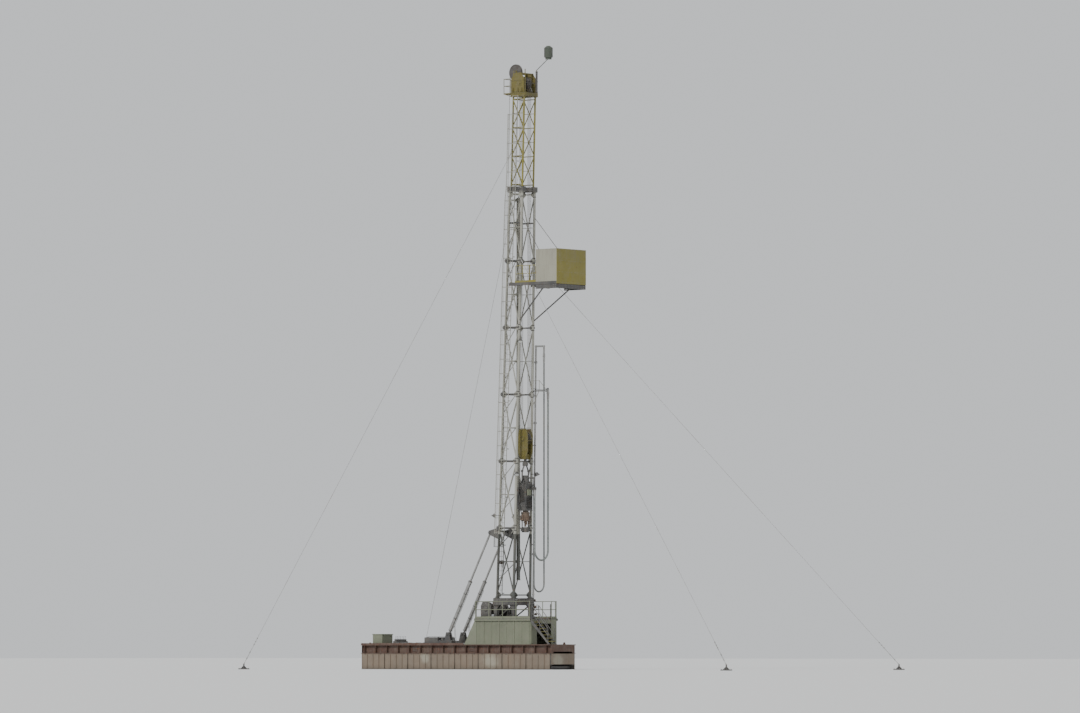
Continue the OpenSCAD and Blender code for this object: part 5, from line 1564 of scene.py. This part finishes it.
# Collar and ram yoke: pin plates on the collar, and the bolts of both
YOKE_BOLTS = ((-1.62, 8.75), (-1.62, 8.5), (-1.62, 8.25), (-1.78, 8.72), (-1.8, 8.34))


def collar_fittings():
    steel, bolts = Shape(), []
    low, high = COLLAR_Z - COLLAR_H / 2, COLLAR_Z + COLLAR_H / 2
    heights = (low + 0.06, high - 0.06)
    half_x, half_y, middle = 0.65, 0.715, -0.245
    cap = [(0, 0.06), (0.02, 0.06), (0.024, 0.045), (0.05, 0.045), (0.054, 0.02)]
    for side in SIDES:
        along = row(middle - half_x + 0.08, (2 * half_x - 0.16) / 8, 9)
        bolts += grid(OUT[side], along, side * half_y, heights)
        for x in (middle - 0.33, middle + 0.33):
            steel.box((x - 0.1, side * half_y, low + 0.03), (x + 0.1, side * (half_y + 0.02), high - 0.03))
            steel.turned((x, side * (half_y + 0.02), COLLAR_Z), OUT[side], cap, 20)
    for end in SIDES:
        bolts += grid(AHEAD[end], middle + end * half_x, row(-0.54, 0.18, 7), heights)
    for side, face in CORNERS:
        bolts += [((x, side * RAM_Y + face * 0.13, z), OUT[face]) for x, z in YOKE_BOLTS]
    steel.piece("collar_pin_plates", "dark_steel", bevel=0.003)
    bolt_heads("collar_and_yoke_bolts", bolts, 0.03, 0.022, 0.044, 9)


collar_fittings()


# Girts: dark channels across the sides and the back of the mast where the bays meet, and one near the top
def girt_channels():
    dark = Shape()
    for z in [level(i) for i in range(1, BAYS)] + [27.9]:
        for a, b in (((-1, -1), (-1, 1)), ((1, -1), (1, 1)), ((-1, -1), (1, -1))):
            dark.bar(leg_at(*a, z), leg_at(*b, z), 0.102, 8)
    dark.piece("mast_girt_channels", "dark_steel", bevel=0.002)


girt_channels()


# Crown: bolts, pin caps, stiffeners, rope guards, ledge with its rail, post sleeve, fast sheave hub, beacon
CROWN_X = axis_x(CROWN_Z)
CROWN_HX, CROWN_HY = TOP_D / 2 + 0.15, TOP_W / 2 + 0.09
CHEEK_Y = CROWN_HY - 0.045
BEACON = vec(0.9, 1.18, CROWN_Z + 2.45)


def crown_cheeks_and_guards():
    bolts, plates, guards, z, back = [], Shape(), Shape(), CROWN_Z, CROWN_X - CROWN_HX
    cap = [(0, 0.19), (0.014, 0.19), (0.014, 0.09), (0.05, 0.08), (0.052, 0.02)]
    for side in SIDES:
        bolts += grid(OUT[side], row(back + 0.07, 0.1325, 9), side * CROWN_HY, (z + 0.05, z + 0.21))
        y = side * CHEEK_Y
        for k, x in enumerate(row(back + 0.1, 0.165, 6)):
            bolts += grid(OUT[side], x, y, (z + 0.32, z + 1.0) if k < 5 else z + 0.32)
        bolts += bolt_ring((0, y, CROWN_AXIS), OUT[side], 0.145, 8)
        plates.turned((0, y, CROWN_AXIS), OUT[side], cap, 28)
        for x in (CROWN_X - 0.42, CROWN_X - 0.02, CROWN_X + 0.3):
            plates.box((x - 0.009, y, z + 0.262), (x + 0.009, y + side * 0.055, z + 0.562))
        plates.box((back + 0.02, y, z + 1.0), (CROWN_X + CROWN_HX - 0.16, y + side * 0.012, z + 1.06))
    for end in SIDES:
        bolts += grid(AHEAD[end], CROWN_X + end * CROWN_HX, row(-0.38, 0.152, 6), (z + 0.06, z + 0.2))
    bolt_heads("crown_bolts", bolts, 0.034, 0.022, 0.05, 14, "dark_steel")
    # Crown cover plates take the crown yellow darkened with painted shade
    plates.piece("crown_cover_plates", "rig_yellow", coat="crown_yellow_painted_shade", bevel=0.004)
    for x, h in ((-0.395, 0), (0.395, 0), (0, 0.395)):
        guards.bar((x, -0.53, CROWN_AXIS + h), (x, 0.53, CROWN_AXIS + h), 0.03)
    for y in (-0.2, 0.0, 0.2):
        arch = [(0.40 * math.cos(t), y, CROWN_AXIS + 0.40 * math.sin(t)) for t in row(0, math.pi / 16, 17)]
        guards.tube(arch, 0.008, 6)
    guards.piece("crown_rope_guards", "dark_steel", smooth=60)


def crown_ledge():
    z, ledge, steel = CROWN_Z, CROWN_X - CROWN_HX, Shape()
    slats = grid(ALONG, ledge - 0.28, row(-0.6, 0.042, 17), z + 0.236, 0.52, UP)
    ties = grid(ACROSS, row(ledge - 0.5, 0.11, 5), -0.264, z + 0.24, 0.7, UP)
    # The ledge's grating, ties and rail take the crown yellow darkened with painted shade
    flat_bars("crown_ledge_grating", slats, 0.024, 0.006, "rig_yellow", coat="crown_yellow_painted_shade")
    round_bars("crown_ledge_ties", ties, 0.01, "rig_yellow", "crown_yellow_painted_shade")
    for y in (-0.62, 0.105):
        steel.box((ledge - 0.55, y - 0.01, z + 0.18), (ledge, y + 0.01, z + 0.25))
        steel.bar((ledge - 0.5, y, z + 0.19), (ledge, y, z + 0.03), 0.035)
    steel.box((ledge - 0.57, -0.63, z + 0.18), (ledge - 0.55, 0.115, z + 0.25))
    near, far, edge = ledge - 0.02, ledge - 0.54, -0.62
    for x in (far, near):
        steel.bar((x, edge, z + 0.2), (x, edge, z + 1.15), 0.036)
    for h in (0.7, 1.14):
        for x, y in ((near, edge), (far, 0.08)):
            steel.bar((far, edge, z + h), (x, y, z + h), 0.034)
    steel.bar((far, 0.08, z + 0.2), (far, 0.08, z + 1.14), 0.036)
    steel.piece("crown_ledge_and_rail", "rig_yellow", coat="crown_yellow_painted_shade", smooth=60)


def crown_post_and_beacon():
    post, hub, grease, beacon, wire = Shape(), Shape(), Shape(), Shape(), Shape()
    x, y, z = CROWN_X + CROWN_HX - 0.06, CROWN_HY - 0.06, CROWN_Z
    post.block(x, y, z, 0.05, 0.05, 0.265, 1.6)
    for h in (0.3, 0.95, 1.56):
        post.block(x, y, z, 0.062, 0.062, h, h + 0.05)
    post.piece("crown_post_sleeve", "dark_steel", bevel=0.004)
    for side in SIDES:
        hub.turned(FAST + OUT[side] * 0.11, OUT[side], [(0, 0.08), (0.012, 0.08), (0.016, 0.03)], 20)
        hub.hoop(FAST + OUT[side] * 0.057, ACROSS, 0.46, 0.02, 48, 6)
        for t in row(0.2, math.pi / 3, 6):
            out, turn = vec(math.cos(t), 0, math.sin(t)), vec(-math.sin(t), 0, math.cos(t))
            spoke = ((0.09, 0.015), (0.42, 0.012), (0.42, -0.012), (0.09, -0.015))
            hub.plate([FAST + OUT[side] * 0.048 + out * r + turn * w for r, w in spoke], OUT[side] * 0.014)
    hub.piece("fast_sheave_hub_and_spokes", "cast")
    for pipe_y in row(0.3, -0.03, 4):
        run = ((CROWN_X + 0.42, z + 0.3), (CROWN_X + 0.35, z + 0.5), (0.07, CROWN_AXIS - 0.02),
               (0.0, CROWN_AXIS + 0.062))
        grease.tube([(px, pipe_y, pz) for px, pz in run], 0.006, 6)
    grease.piece("crown_grease_lines", "bare_steel", smooth=60)
    for h in (0.08, 0.36, 0.64):
        beacon.hoop(BEACON + UP * h, UP, 0.262, 0.02, 40, 6)
    for c in round_about(BEACON, UP, 0.268, 12):
        beacon.tube([c + UP * 0.07, c + UP * 0.66], 0.008, 6)
    beacon.turned(BEACON + UP * 0.786, UP, [(0, 0.04), (0.004, 0.03)], 12)
    beacon.piece("beacon_cage", "dark_steel", smooth=60)
    p = vec(x, y, z + 1.69)
    pole = BEACON - p
    run = [pole * t + vec(0.02 + 0.01 * math.sin(9 * t), -0.028, 0.0) for t in row(0, 1 / 12, 12)]
    wire.tube(moved(p, run), 0.008, 6)
    for k in range(1, 6):
        wire.hoop(p + pole * (k / 6), pole, 0.027, 0.01, 12, 6)
    wire.piece("beacon_wire", "hose_rubber", smooth=60)


crown_cheeks_and_guards()
crown_ledge()
crown_post_and_beacon()


# Travelling block: rims, pin caps, side bolts, guard bars and the knuckles of the bail
def block_fittings():
    low, high = BLOCK_Z, BLOCK_Z + BLOCK_H
    middle = (low + high) / 2
    plates, bolts, guard, hook = Shape(), [], Shape(), Shape()
    outline = [(-0.2, low), (0.2, low), (0.4, low + 0.5), (0.4, high - 0.42), (0.26, high), (-0.26, high),
               (-0.4, high - 0.42), (-0.4, low + 0.5)]
    caps = ((BLOCK_AXIS, 28, [(0, 0.17), (0.016, 0.17), (0.018, 0.11), (0.05, 0.1), (0.055, 0.03)]),
            (low + 0.19, 24, [(0, 0.11), (0.014, 0.11), (0.016, 0.07), (0.045, 0.065), (0.05, 0.02)]))
    for side in SIDES:
        y = side * 0.245
        for (xa, za), (xb, zb) in zip(outline, outline[1:] + outline[:1]):
            inner = [(x * 0.9, middle + (z - middle) * 0.955) for x, z in ((xb, zb), (xa, za))]
            plates.side_plate(y, [(xa, za), (xb, zb), *inner], side * 0.012)
        for z, sides, cap in caps:
            plates.turned((0, y, z), OUT[side], cap, sides)
        patch = [(-0.16, low + 0.5), (0.16, low + 0.5), (0.12, low + 0.82), (-0.12, low + 0.82)]
        plates.side_plate(y, patch, side * 0.01)
        bolts += bolt_ring((0, y + side * 0.016, BLOCK_AXIS), OUT[side], 0.142, 8)
        face = y + side * 0.012
        bolts += [((x * 0.95, face, middle + (z - middle) * 0.975), OUT[side]) for x, z in outline]
        for z in (low + 0.75, low + 1.05):
            bolts += grid(OUT[side], (-0.38, 0.38), face, z)
    # Block rims, pin caps and rope guard take the crown yellow darkened with painted shade
    plates.piece("block_rims_and_pin_caps", "rig_yellow", BLOCK, "crown_yellow_painted_shade", bevel=0.003)
    bolt_heads("block_bolts", bolts, 0.03, 0.02, 0.044, 21, "dark_steel", BLOCK)
    for end in SIDES:
        for x, drop in ((0.39, 0.12), (0.33, 0.31)):
            guard.bar((end * x, -0.205, BLOCK_AXIS - drop), (end * x, 0.205, BLOCK_AXIS - drop), 0.028)
    for t in row(math.pi * 0.08, math.pi * 0.07, 13):
        guard.block(0.385 * math.cos(t), 0, BLOCK_AXIS - 0.385 * math.sin(t), 0.016, 0.205, -0.006, 0.006)
    guard.piece("block_rope_guard", "rig_yellow", BLOCK, "crown_yellow_painted_shade")
    top = low + 0.04
    collar = [(-0.03, 0.12), (-0.02, 0.172), (0.0, 0.178), (0.16, 0.178), (0.19, 0.15), (0.24, 0.11)]
    hook.turned((0, 0, top - 0.42), UP, collar, 28)
    for side in SIDES:
        for z, profile in ((DRIVE_TOP + 0.03, [(-0.09, 0.075), (0.09, 0.075), (0.1, 0.05)]),
                           (top - 0.76, [(-0.06, 0.062), (0.06, 0.062), (0.07, 0.04)])):
            hook.turned((0, side * 0.3, z), OUT[side], profile, 20)
    hook.piece("bail_knuckles", "dark_steel", BLOCK, bevel=0.003)


block_fittings()

# Top drive: motor fins, blower, junction box, hoses; pipe handler bands; elevator latch and link eyes
HANDLER_Z = DRIVE_BOTTOM - 0.65
BAND_HEIGHTS = (DRIVE_BOTTOM + 0.02, DRIVE_BOTTOM + 0.28, DRIVE_TOP - 0.36, DRIVE_TOP - 0.05)


def drive_housing():
    z0, z1 = DRIVE_BOTTOM, DRIVE_TOP
    fins = []
    for y in (-0.348, 0.348):
        fins += grid(UP, row(-0.22, 0.0315, 15), y, (z0 + z1) / 2 + 0.12, 0.95, ALONG)
    fins += grid(UP, 0.308, row(-0.25, 0.0315, 17), z0 + 0.5, 0.7, ACROSS)
    flat_bars("drive_motor_fins", fins, 0.008, 0.03, "dark_steel", BLOCK)
    body, boxes, bolts = Shape(), Shape(), bolt_ring((0, 0, z1 + 0.05), UP, 0.23, 14)
    for z in BAND_HEIGHTS:
        for y in (-0.345, 0.345):
            body.block(0, y, z, 0.312, 0.007, -0.02, 0.02)
        body.block(0.305, 0, z, 0.007, 0.352, -0.02, 0.02)
        for side in SIDES:
            bolts += grid(OUT[side], row(-0.27, 0.135, 5), side * 0.352, z)
        bolts += grid(ALONG, 0.312, row(-0.27, 0.135, 5), z)
    blower = [(0, 0.12), (0.22, 0.12), (0.22, 0.135), (0.26, 0.135), (0.3, 0.1), (0.31, 0.03)]
    body.turned((0.16, -0.12, z1), UP, blower, 24)
    duct = ((-0.24, 0.1), (-0.37, 0.06), (-0.4, -0.06), (-0.4, -0.4), (-0.36, -0.5))
    body.tube([(0.16, y, z1 + h) for y, h in duct], 0.045, 12)
    gland = [(-0.02, 0.195), (0.0, 0.2), (0.01, 0.18), (0.05, 0.15), (0.06, 0.1)]
    body.turned((0, 0, z1 + 0.4), UP, gland, 28)
    body.turned((0, 0, z1 + 0.02), UP, [(-0.015, 0.25), (0.03, 0.25), (0.04, 0.215)], 28)
    body.box((-0.29, 0.34, z0 + 0.35), (-0.12, 0.45, z0 + 0.85))
    body.box((-0.29, -0.45, z0 + 0.5), (-0.08, -0.34, z0 + 1.0))
    body.piece("drive_housing_details", "dark_steel", BLOCK, bevel=0.004)
    boxes.box((0.314, -0.2, z0 + 0.95), (0.40, 0.12, z0 + 1.32))
    boxes.box((0.40, -0.17, z0 + 0.98), (0.408, 0.09, z0 + 1.29))
    for z in (z0 + 1.02, z0 + 1.25):
        boxes.tube([(0.41, -0.185, z - 0.025), (0.41, -0.185, z + 0.025)], 0.012, 8)
    boxes.piece("drive_junction_box", "green_grey", BLOCK, bevel=0.006)
    bolts += flange_bolts((0, 0, HANDLER_Z), (0.56, 0), 0.235, 12)
    bolt_heads("drive_bolts", bolts, 0.028, 0.018, 0.04, 17, body=BLOCK)


def drive_hoses():
    lines, z0 = Shape(), DRIVE_BOTTOM
    x, middle, z = LOOP_B
    for k, y in enumerate(row(middle - 0.06, 0.03, 5)):
        path = [(x, y, z + 0.15), (x - 0.01, y, z + 0.24), (x - 0.07, y - 0.01, z + 0.29)]
        path += [(0.36, y - 0.04, z + 0.22), (0.325, y - 0.08, z + 0.1)]
        path.append((0.325, y - 0.1 - 0.02 * k, z0 + 1.32))
        lines.tube(path, 0.013, 8)
    jumper = ((-0.1, 0.36, 0.3), (-0.1, 0.39, 0.12), (-0.06, 0.36, -0.06), (-0.03, 0.3, -0.16),
              (0.0, 0.24, -0.22))
    for side in SIDES:
        for shift in (0, 0.05):
            lines.tube([(px + shift, side * py, z0 + h) for px, py, h in jumper], 0.012, 8)
    lines.piece("drive_hoses", "hose_rubber", BLOCK, smooth=60)


def handler_and_elevator():
    handler, jaws, zh, e = Shape(), Shape(), HANDLER_Z, ELEVATOR_Z
    for h in (0.06, 0.28, 0.5):
        handler.band((0, 0, zh + h), UP, 0.03, 0.262, 0.275, sides=40)
    for side in SIDES:
        handler.block(0.19, side * 0.12, zh, 0.05, 0.04, -0.22, 0.02)
        handler.tube([(0.19, side * 0.12, zh - 0.2), (0.12, side * 0.1, zh - 0.2)], 0.035, 12)
        arm = ((0.16, 0, 0.3), (0.22, 0, 0.02), (0.14, 0, -0.12))
        handler.tube(moved((0, side * 0.31, zh), arm), 0.022, 8)
    handler.piece("pipe_handler_bands", "brown", BLOCK, bevel=0.003)
    for h in (0.03, 0.29):
        jaws.band((0, 0, e + h), UP, 0.022, 0.208, 0.222, 0.002, 32)
    jaws.block(0.235, 0, e, 0.035, 0.05, 0.05, 0.27)
    handle = ((0.24, -0.05), (0.34, -0.1), (0.4, -0.02), (0.4, 0.06), (0.32, 0.1), (0.24, 0.05))
    jaws.tube([(x, y, e + 0.16) for x, y in handle], 0.014, 8)
    jaws.turned((-0.2, 0, e + 0.16), UP, [(-0.14, 0.045), (0.14, 0.045), (0.15, 0.03)], 12)
    for side in SIDES:
        for z in (e + 0.2, DRIVE_BOTTOM - 0.42):
            jaws.hoop((0, side * 0.3, z), ALONG, 0.085, 0.05, 20, 8)
    jaws.piece("elevator_latch_and_link_eyes", "dark_steel", BLOCK, bevel=0.002)


drive_housing()
drive_hoses()
handler_and_elevator()


# Rams: bands, gland rings, pipes, pin plates, and the cover between their feet
def ram_fittings():
    pipes, dark, lid, glands, bolts = Shape(), Shape(), Shape(), [], []
    way, length = (RAM_TOP - RAM_FOOT).normalized(), (RAM_TOP - RAM_FOOT).length
    a = way.orthogonal().normalized()
    b = way.cross(a)
    for side in SIDES:
        foot, head = RAM_FOOT + OUT[side] * RAM_Y, RAM_TOP + OUT[side] * RAM_Y
        low, mid = foot + way * 0.28, foot + way * length * 0.52
        for t in (0.0, 0.25, 0.5, 0.75):
            dark.band(low.lerp(mid, t), way, 0.025, 0.116, 0.127, sides=28)
        dark.turned(mid, way, [(0.0, 0.105), (0.012, 0.1), (0.05, 0.085), (0.055, 0.066)], 28)
        glands += [(p, way) for p in circle(mid, a, b, 0.122, 8)]
        for k, dy in enumerate((-0.05, 0.05)):
            off, step = vec(way.z, 0, -way.x) * 0.145 + ACROSS * dy, 0.2 * k
            start = low + off + way * (0.1 + step)
            pipes.tube([start, low + off + way * 0.6, mid + off - way * (0.4 + step),
                        mid + off * 0.75 - way * (0.33 + step)], 0.014, 8)
            pipes.tube([start, low + off * 0.7 + way * (0.02 + step)], 0.014, 8)
            pipes.tube([low + off + way * 0.45, low + off + way * 0.3 + vec(0.1, 0, -0.15),
                        vec(-5.12, side * RAM_Y + dy, DECK_Z + 0.16),
                        vec(-5.1, side * (RAM_Y - 0.08) + dy, DECK_Z + 0.03)], 0.013, 8)
        for c, edge in ((foot, 0.17), (head, 0.13)):
            for face in SIDES:
                cap = [(-0.002, 0.062), (0.01, 0.062), (0.014, 0.03)]
                dark.turned(c + OUT[face] * edge, OUT[face], cap, 20)
                dark.cube(c + vec(-0.06, face * (edge - 0.0105), 0), (0.03, 0.0225, 0.018))
        bolts += grid(UP, (-6.4, -5.98, -5.42), (foot.y - 0.06, foot.y + 0.06), DECK_Z + 0.24)
    pipes.piece("ram_pipes", "bare_steel", smooth=60)
    dark.piece("ram_bands_and_pin_plates", "dark_steel")
    bolt_heads("ram_gland_bolts", glands, 0.02, 0.016, 0.028, 5)
    lid.block(-7.05, 0, DECK_Z, 0.51, 0.8, 0.44, 0.452)
    for y in (-0.5, 0.5):
        lid.hoop((-7.05, y, DECK_Z + 0.46), ACROSS, 0.05, 0.014, 16, 6)
    lid.piece("ram_base_cover", "dark_steel", bevel=0.003)
    bolt_heads("ram_base_bolts", bolts, 0.04, 0.026, 0.06, 5)


ram_fittings()


# Standpipe: flanges, clamps, valve and gauge
def standpipe_at(z):
    return leg_at(1, 1, z) + vec(0.06, LEG / 2 + 0.15, 0)


def standpipe_fittings():
    pipe, valve, bolts = Shape(), Shape(), []
    low, high = FOOT_Z + 0.25, 20.2
    up = (standpipe_at(high) - standpipe_at(low)).normalized()
    flange = [(-0.05, 0.06), (-0.045, 0.105), (-0.006, 0.105), (-0.004, 0.07)]
    flange += [(-s, r) for s, r in reversed(flange)]
    for z in (7.2, 11.3, 15.4, 19.2):
        c = standpipe_at(z)
        pipe.turned(c, up, flange, 24)
        bolts += flange_bolts(c, (0.047, -0.047), 0.087, 8)
    clamp = [(-0.075, -0.03, 0), (-0.075, 0.03, 0), (-0.045, 0.065, 0), (0, 0.078, 0)]
    clamp += [(-x, y, 0) for x, y, _ in reversed(clamp[:-1])]
    for z in row(low, (high - low) / 5, 5)[1:]:
        x, y, z = standpipe_at(z)
        pipe.tube(moved((x, y, z), clamp), 0.011, 8)
        pipe.box((x - 0.1, y - 0.05, z - 0.03), (x + 0.1, y - 0.036, z + 0.03))
        bolts += grid(ACROSS, (x - 0.085, x + 0.085), y - 0.036, z)
    pipe.piece("standpipe_flanges_and_clamps", "bare_steel")
    bolt_heads("standpipe_bolts", bolts, 0.022, 0.016, 0.032, 10, "dark_steel")
    x, y, z = standpipe_at(low)
    c, wheel, tee = vec(x, y, 3.9), vec(x + 0.3, y, 3.9), vec(x, y, 3.45)
    body = [(-0.22, 0.1), (-0.18, 0.1), (-0.175, 0.075), (-0.09, 0.09)]
    valve.turned(c, UP, body + [(0.0, 0.1)] + [(-s, r) for s, r in reversed(body)], 24)
    bonnet = [(0.05, 0.07), (0.15, 0.07), (0.155, 0.09), (0.18, 0.09), (0.185, 0.035), (0.3, 0.03)]
    valve.turned(c, ALONG, bonnet, 20)
    valve.hoop(wheel, ALONG, 0.14, 0.022, 28, 8)
    for rim in round_about(wheel, ALONG, 0.14, 4):
        valve.bar(wheel, rim, 0.016)
    valve.tube([tee, tee + ACROSS * 0.22], 0.05, 16)
    valve.turned(tee + ACROSS * 0.2, ACROSS, [(0, 0.075), (0.05, 0.08), (0.1, 0.075), (0.11, 0.04)], 20)
    gauge = c + vec(0, 0.13, 0.42)
    valve.tube([gauge - ACROSS * 0.09, gauge], 0.014, 8)
    valve.turned(gauge, ACROSS, [(0, 0.02), (0.002, 0.07), (0.045, 0.07), (0.05, 0.062)], 24)
    valve.piece("standpipe_valve_and_gauge", "brown")


standpipe_fittings()


# Guys: turnbuckles and clips at the lower ends, ears on the legs, gussets and bolts of the ground anchors
def guy_fittings():
    steel, ears, anchor, bolts = Shape(), Shape(), Shape(), []
    for top, eye in guy_lines:
        way = (eye - top).normalized()
        side = way.cross(UP).normalized()
        lower = [(0, 0.014), (0.25, 0.014), (0.26, 0.034), (0.34, 0.034), (0.36, 0.016)]
        steel.turned(eye - way * 0.1, -way, lower, 10)
        steel.turned(eye - way * 0.8, -way, [(0, 0.034), (0.08, 0.034), (0.09, 0.014), (0.33, 0.014)], 10)
        for rod in (side * -0.026, side * 0.026):
            steel.tube([eye - way * 0.36 + rod, eye - way * 0.84 + rod], 0.01, 8)
        ring = [side * 0.045 * math.sin(t) - way * (0.05 + 0.07 * math.cos(t))
                for t in row(0, math.pi / 8, 16)]
        steel.tube(moved(eye, ring), 0.011, 6, closed=True)
        for far in row(1.4, 0.22, 3):
            steel.cube(eye - way * far, (0.03, 0.022, 0.03))
        tail = [side * out - way * far for far, out in ((1.2, 0.03), (1.4, 0.024), (1.9, 0.024))]
        steel.tube(moved(eye, tail), 0.011, 8)
        socket = [(0, 0.035), (0.06, 0.04), (0.1, 0.03), (0.3, 0.018), (0.32, 0.013)]
        steel.turned(top + way * 0.08, way, socket, 12)
        flat = vec(way.x, way.y, 0).normalized()
        half = vec(-flat.y, flat.x, 0) * 0.011
        ear = (flat * 0.05 + UP * 0.14, flat * 0.05 - UP * 0.18, way * 0.22, way * 0.2 + UP * 0.07)
        ears.plate(moved(top - half, ear), half * 2)
        on_mast = top.z < COLLAR_Z
        ears.hoop(top + UP * 0.1, UP, 0.092 if on_mast else 0.068, 0.03, 20, 6)
        ears.hoop(top - UP * 0.14, UP, 0.094 if on_mast else 0.068, 0.03, 20, 6)
    steel.piece("guy_turnbuckles_and_clips", "bare_steel")
    ears.piece("guy_ears", "dark_steel")
    for x in (GUY_FRONT, -GUY_REAR):
        for side in SIDES:
            c = vec(x, side * GUY_SIDE, 0)
            anchor.fins(c, ((0.04, 0.06), (0.2, 0.06), (0.045, 0.22)), 0.008)
            pairs = zip(round_about(c, UP, 0.19, 4), round_about(c, UP, 0.29, 4, 0.785))
            bolts += [(p + UP * 0.06, UP) for pair in pairs for p in pair]
            anchor.hoop(c + UP * 0.335, ACROSS, 0.0281, 0.016, 14, 6)
    anchor.piece("anchor_gussets", "dark_steel")
    bolt_heads("anchor_bolts", bolts, 0.04, 0.028, 0.06, 13)


guy_fittings()


# Stairs: open grating on the treads, nosings, bolts
def stair_fittings():
    run, drop, steps = BASE_FRONT - 0.06 - FLOOR_FRONT - WALL, FLOOR_Z - DECK_Z, 8
    slats, noses, bolts = [], Shape(), []
    for i in range(1, steps):
        x, z = FLOOR_FRONT + WALL + run * i / steps, FLOOR_Z - drop * i / steps
        slats += grid(ACROSS, row(x - 0.1, 0.025, 9), -0.94, z + 0.004, 0.62, UP)
        noses.box((x + 0.098, -1.255, z - 0.03), (x + 0.114, -0.625, z + 0.01))
        for y, side in ((-1.29, -1), (-0.59, 1)):
            bolts += grid(OUT[side], (x - 0.05, x + 0.05), y, z - 0.015)
    flat_bars("stair_tread_bars", slats, 0.01, 0.005, "dark_steel")
    noses.piece("stair_nosings", "rig_yellow", bevel=0.002)
    bolt_heads("stair_bolts", bolts, 0.02, 0.012, 0.03, 19)


stair_fittings()


# Studio: pale floor, soft light from all round
def studio():
    mesh = bpy.data.meshes.new("floor")
    size, sunk = 420.0, -0.002
    corners = [(x * size, y * size, sunk) for x, y in ((-1, -1), (1, -1), (1, 1), (-1, 1))]
    mesh.from_pydata(corners, [], [(0, 1, 2, 3)])
    floor = placed("floor", mesh)
    material, _, shader, _ = blank("studio_floor")
    shader.inputs["Base Color"].default_value = (0.70, 0.70, 0.69, 1)
    shader.inputs["Roughness"].default_value = 0.9
    mesh.materials.append(material)
    world = bpy.data.worlds.new("studio")
    bpy.context.scene.world = world
    world.use_nodes = True
    background = world.node_tree.nodes["Background"]
    background.inputs["Color"].default_value = (0.80, 0.82, 0.84, 1)
    background.inputs["Strength"].default_value = 0.9
    sun = placed("key", bpy.data.lights.new("key", "SUN"))
    sun.data.energy = 2.5
    sun.data.angle = math.radians(14)
    sun.rotation_euler = (math.radians(52), 0, math.radians(8))


studio()
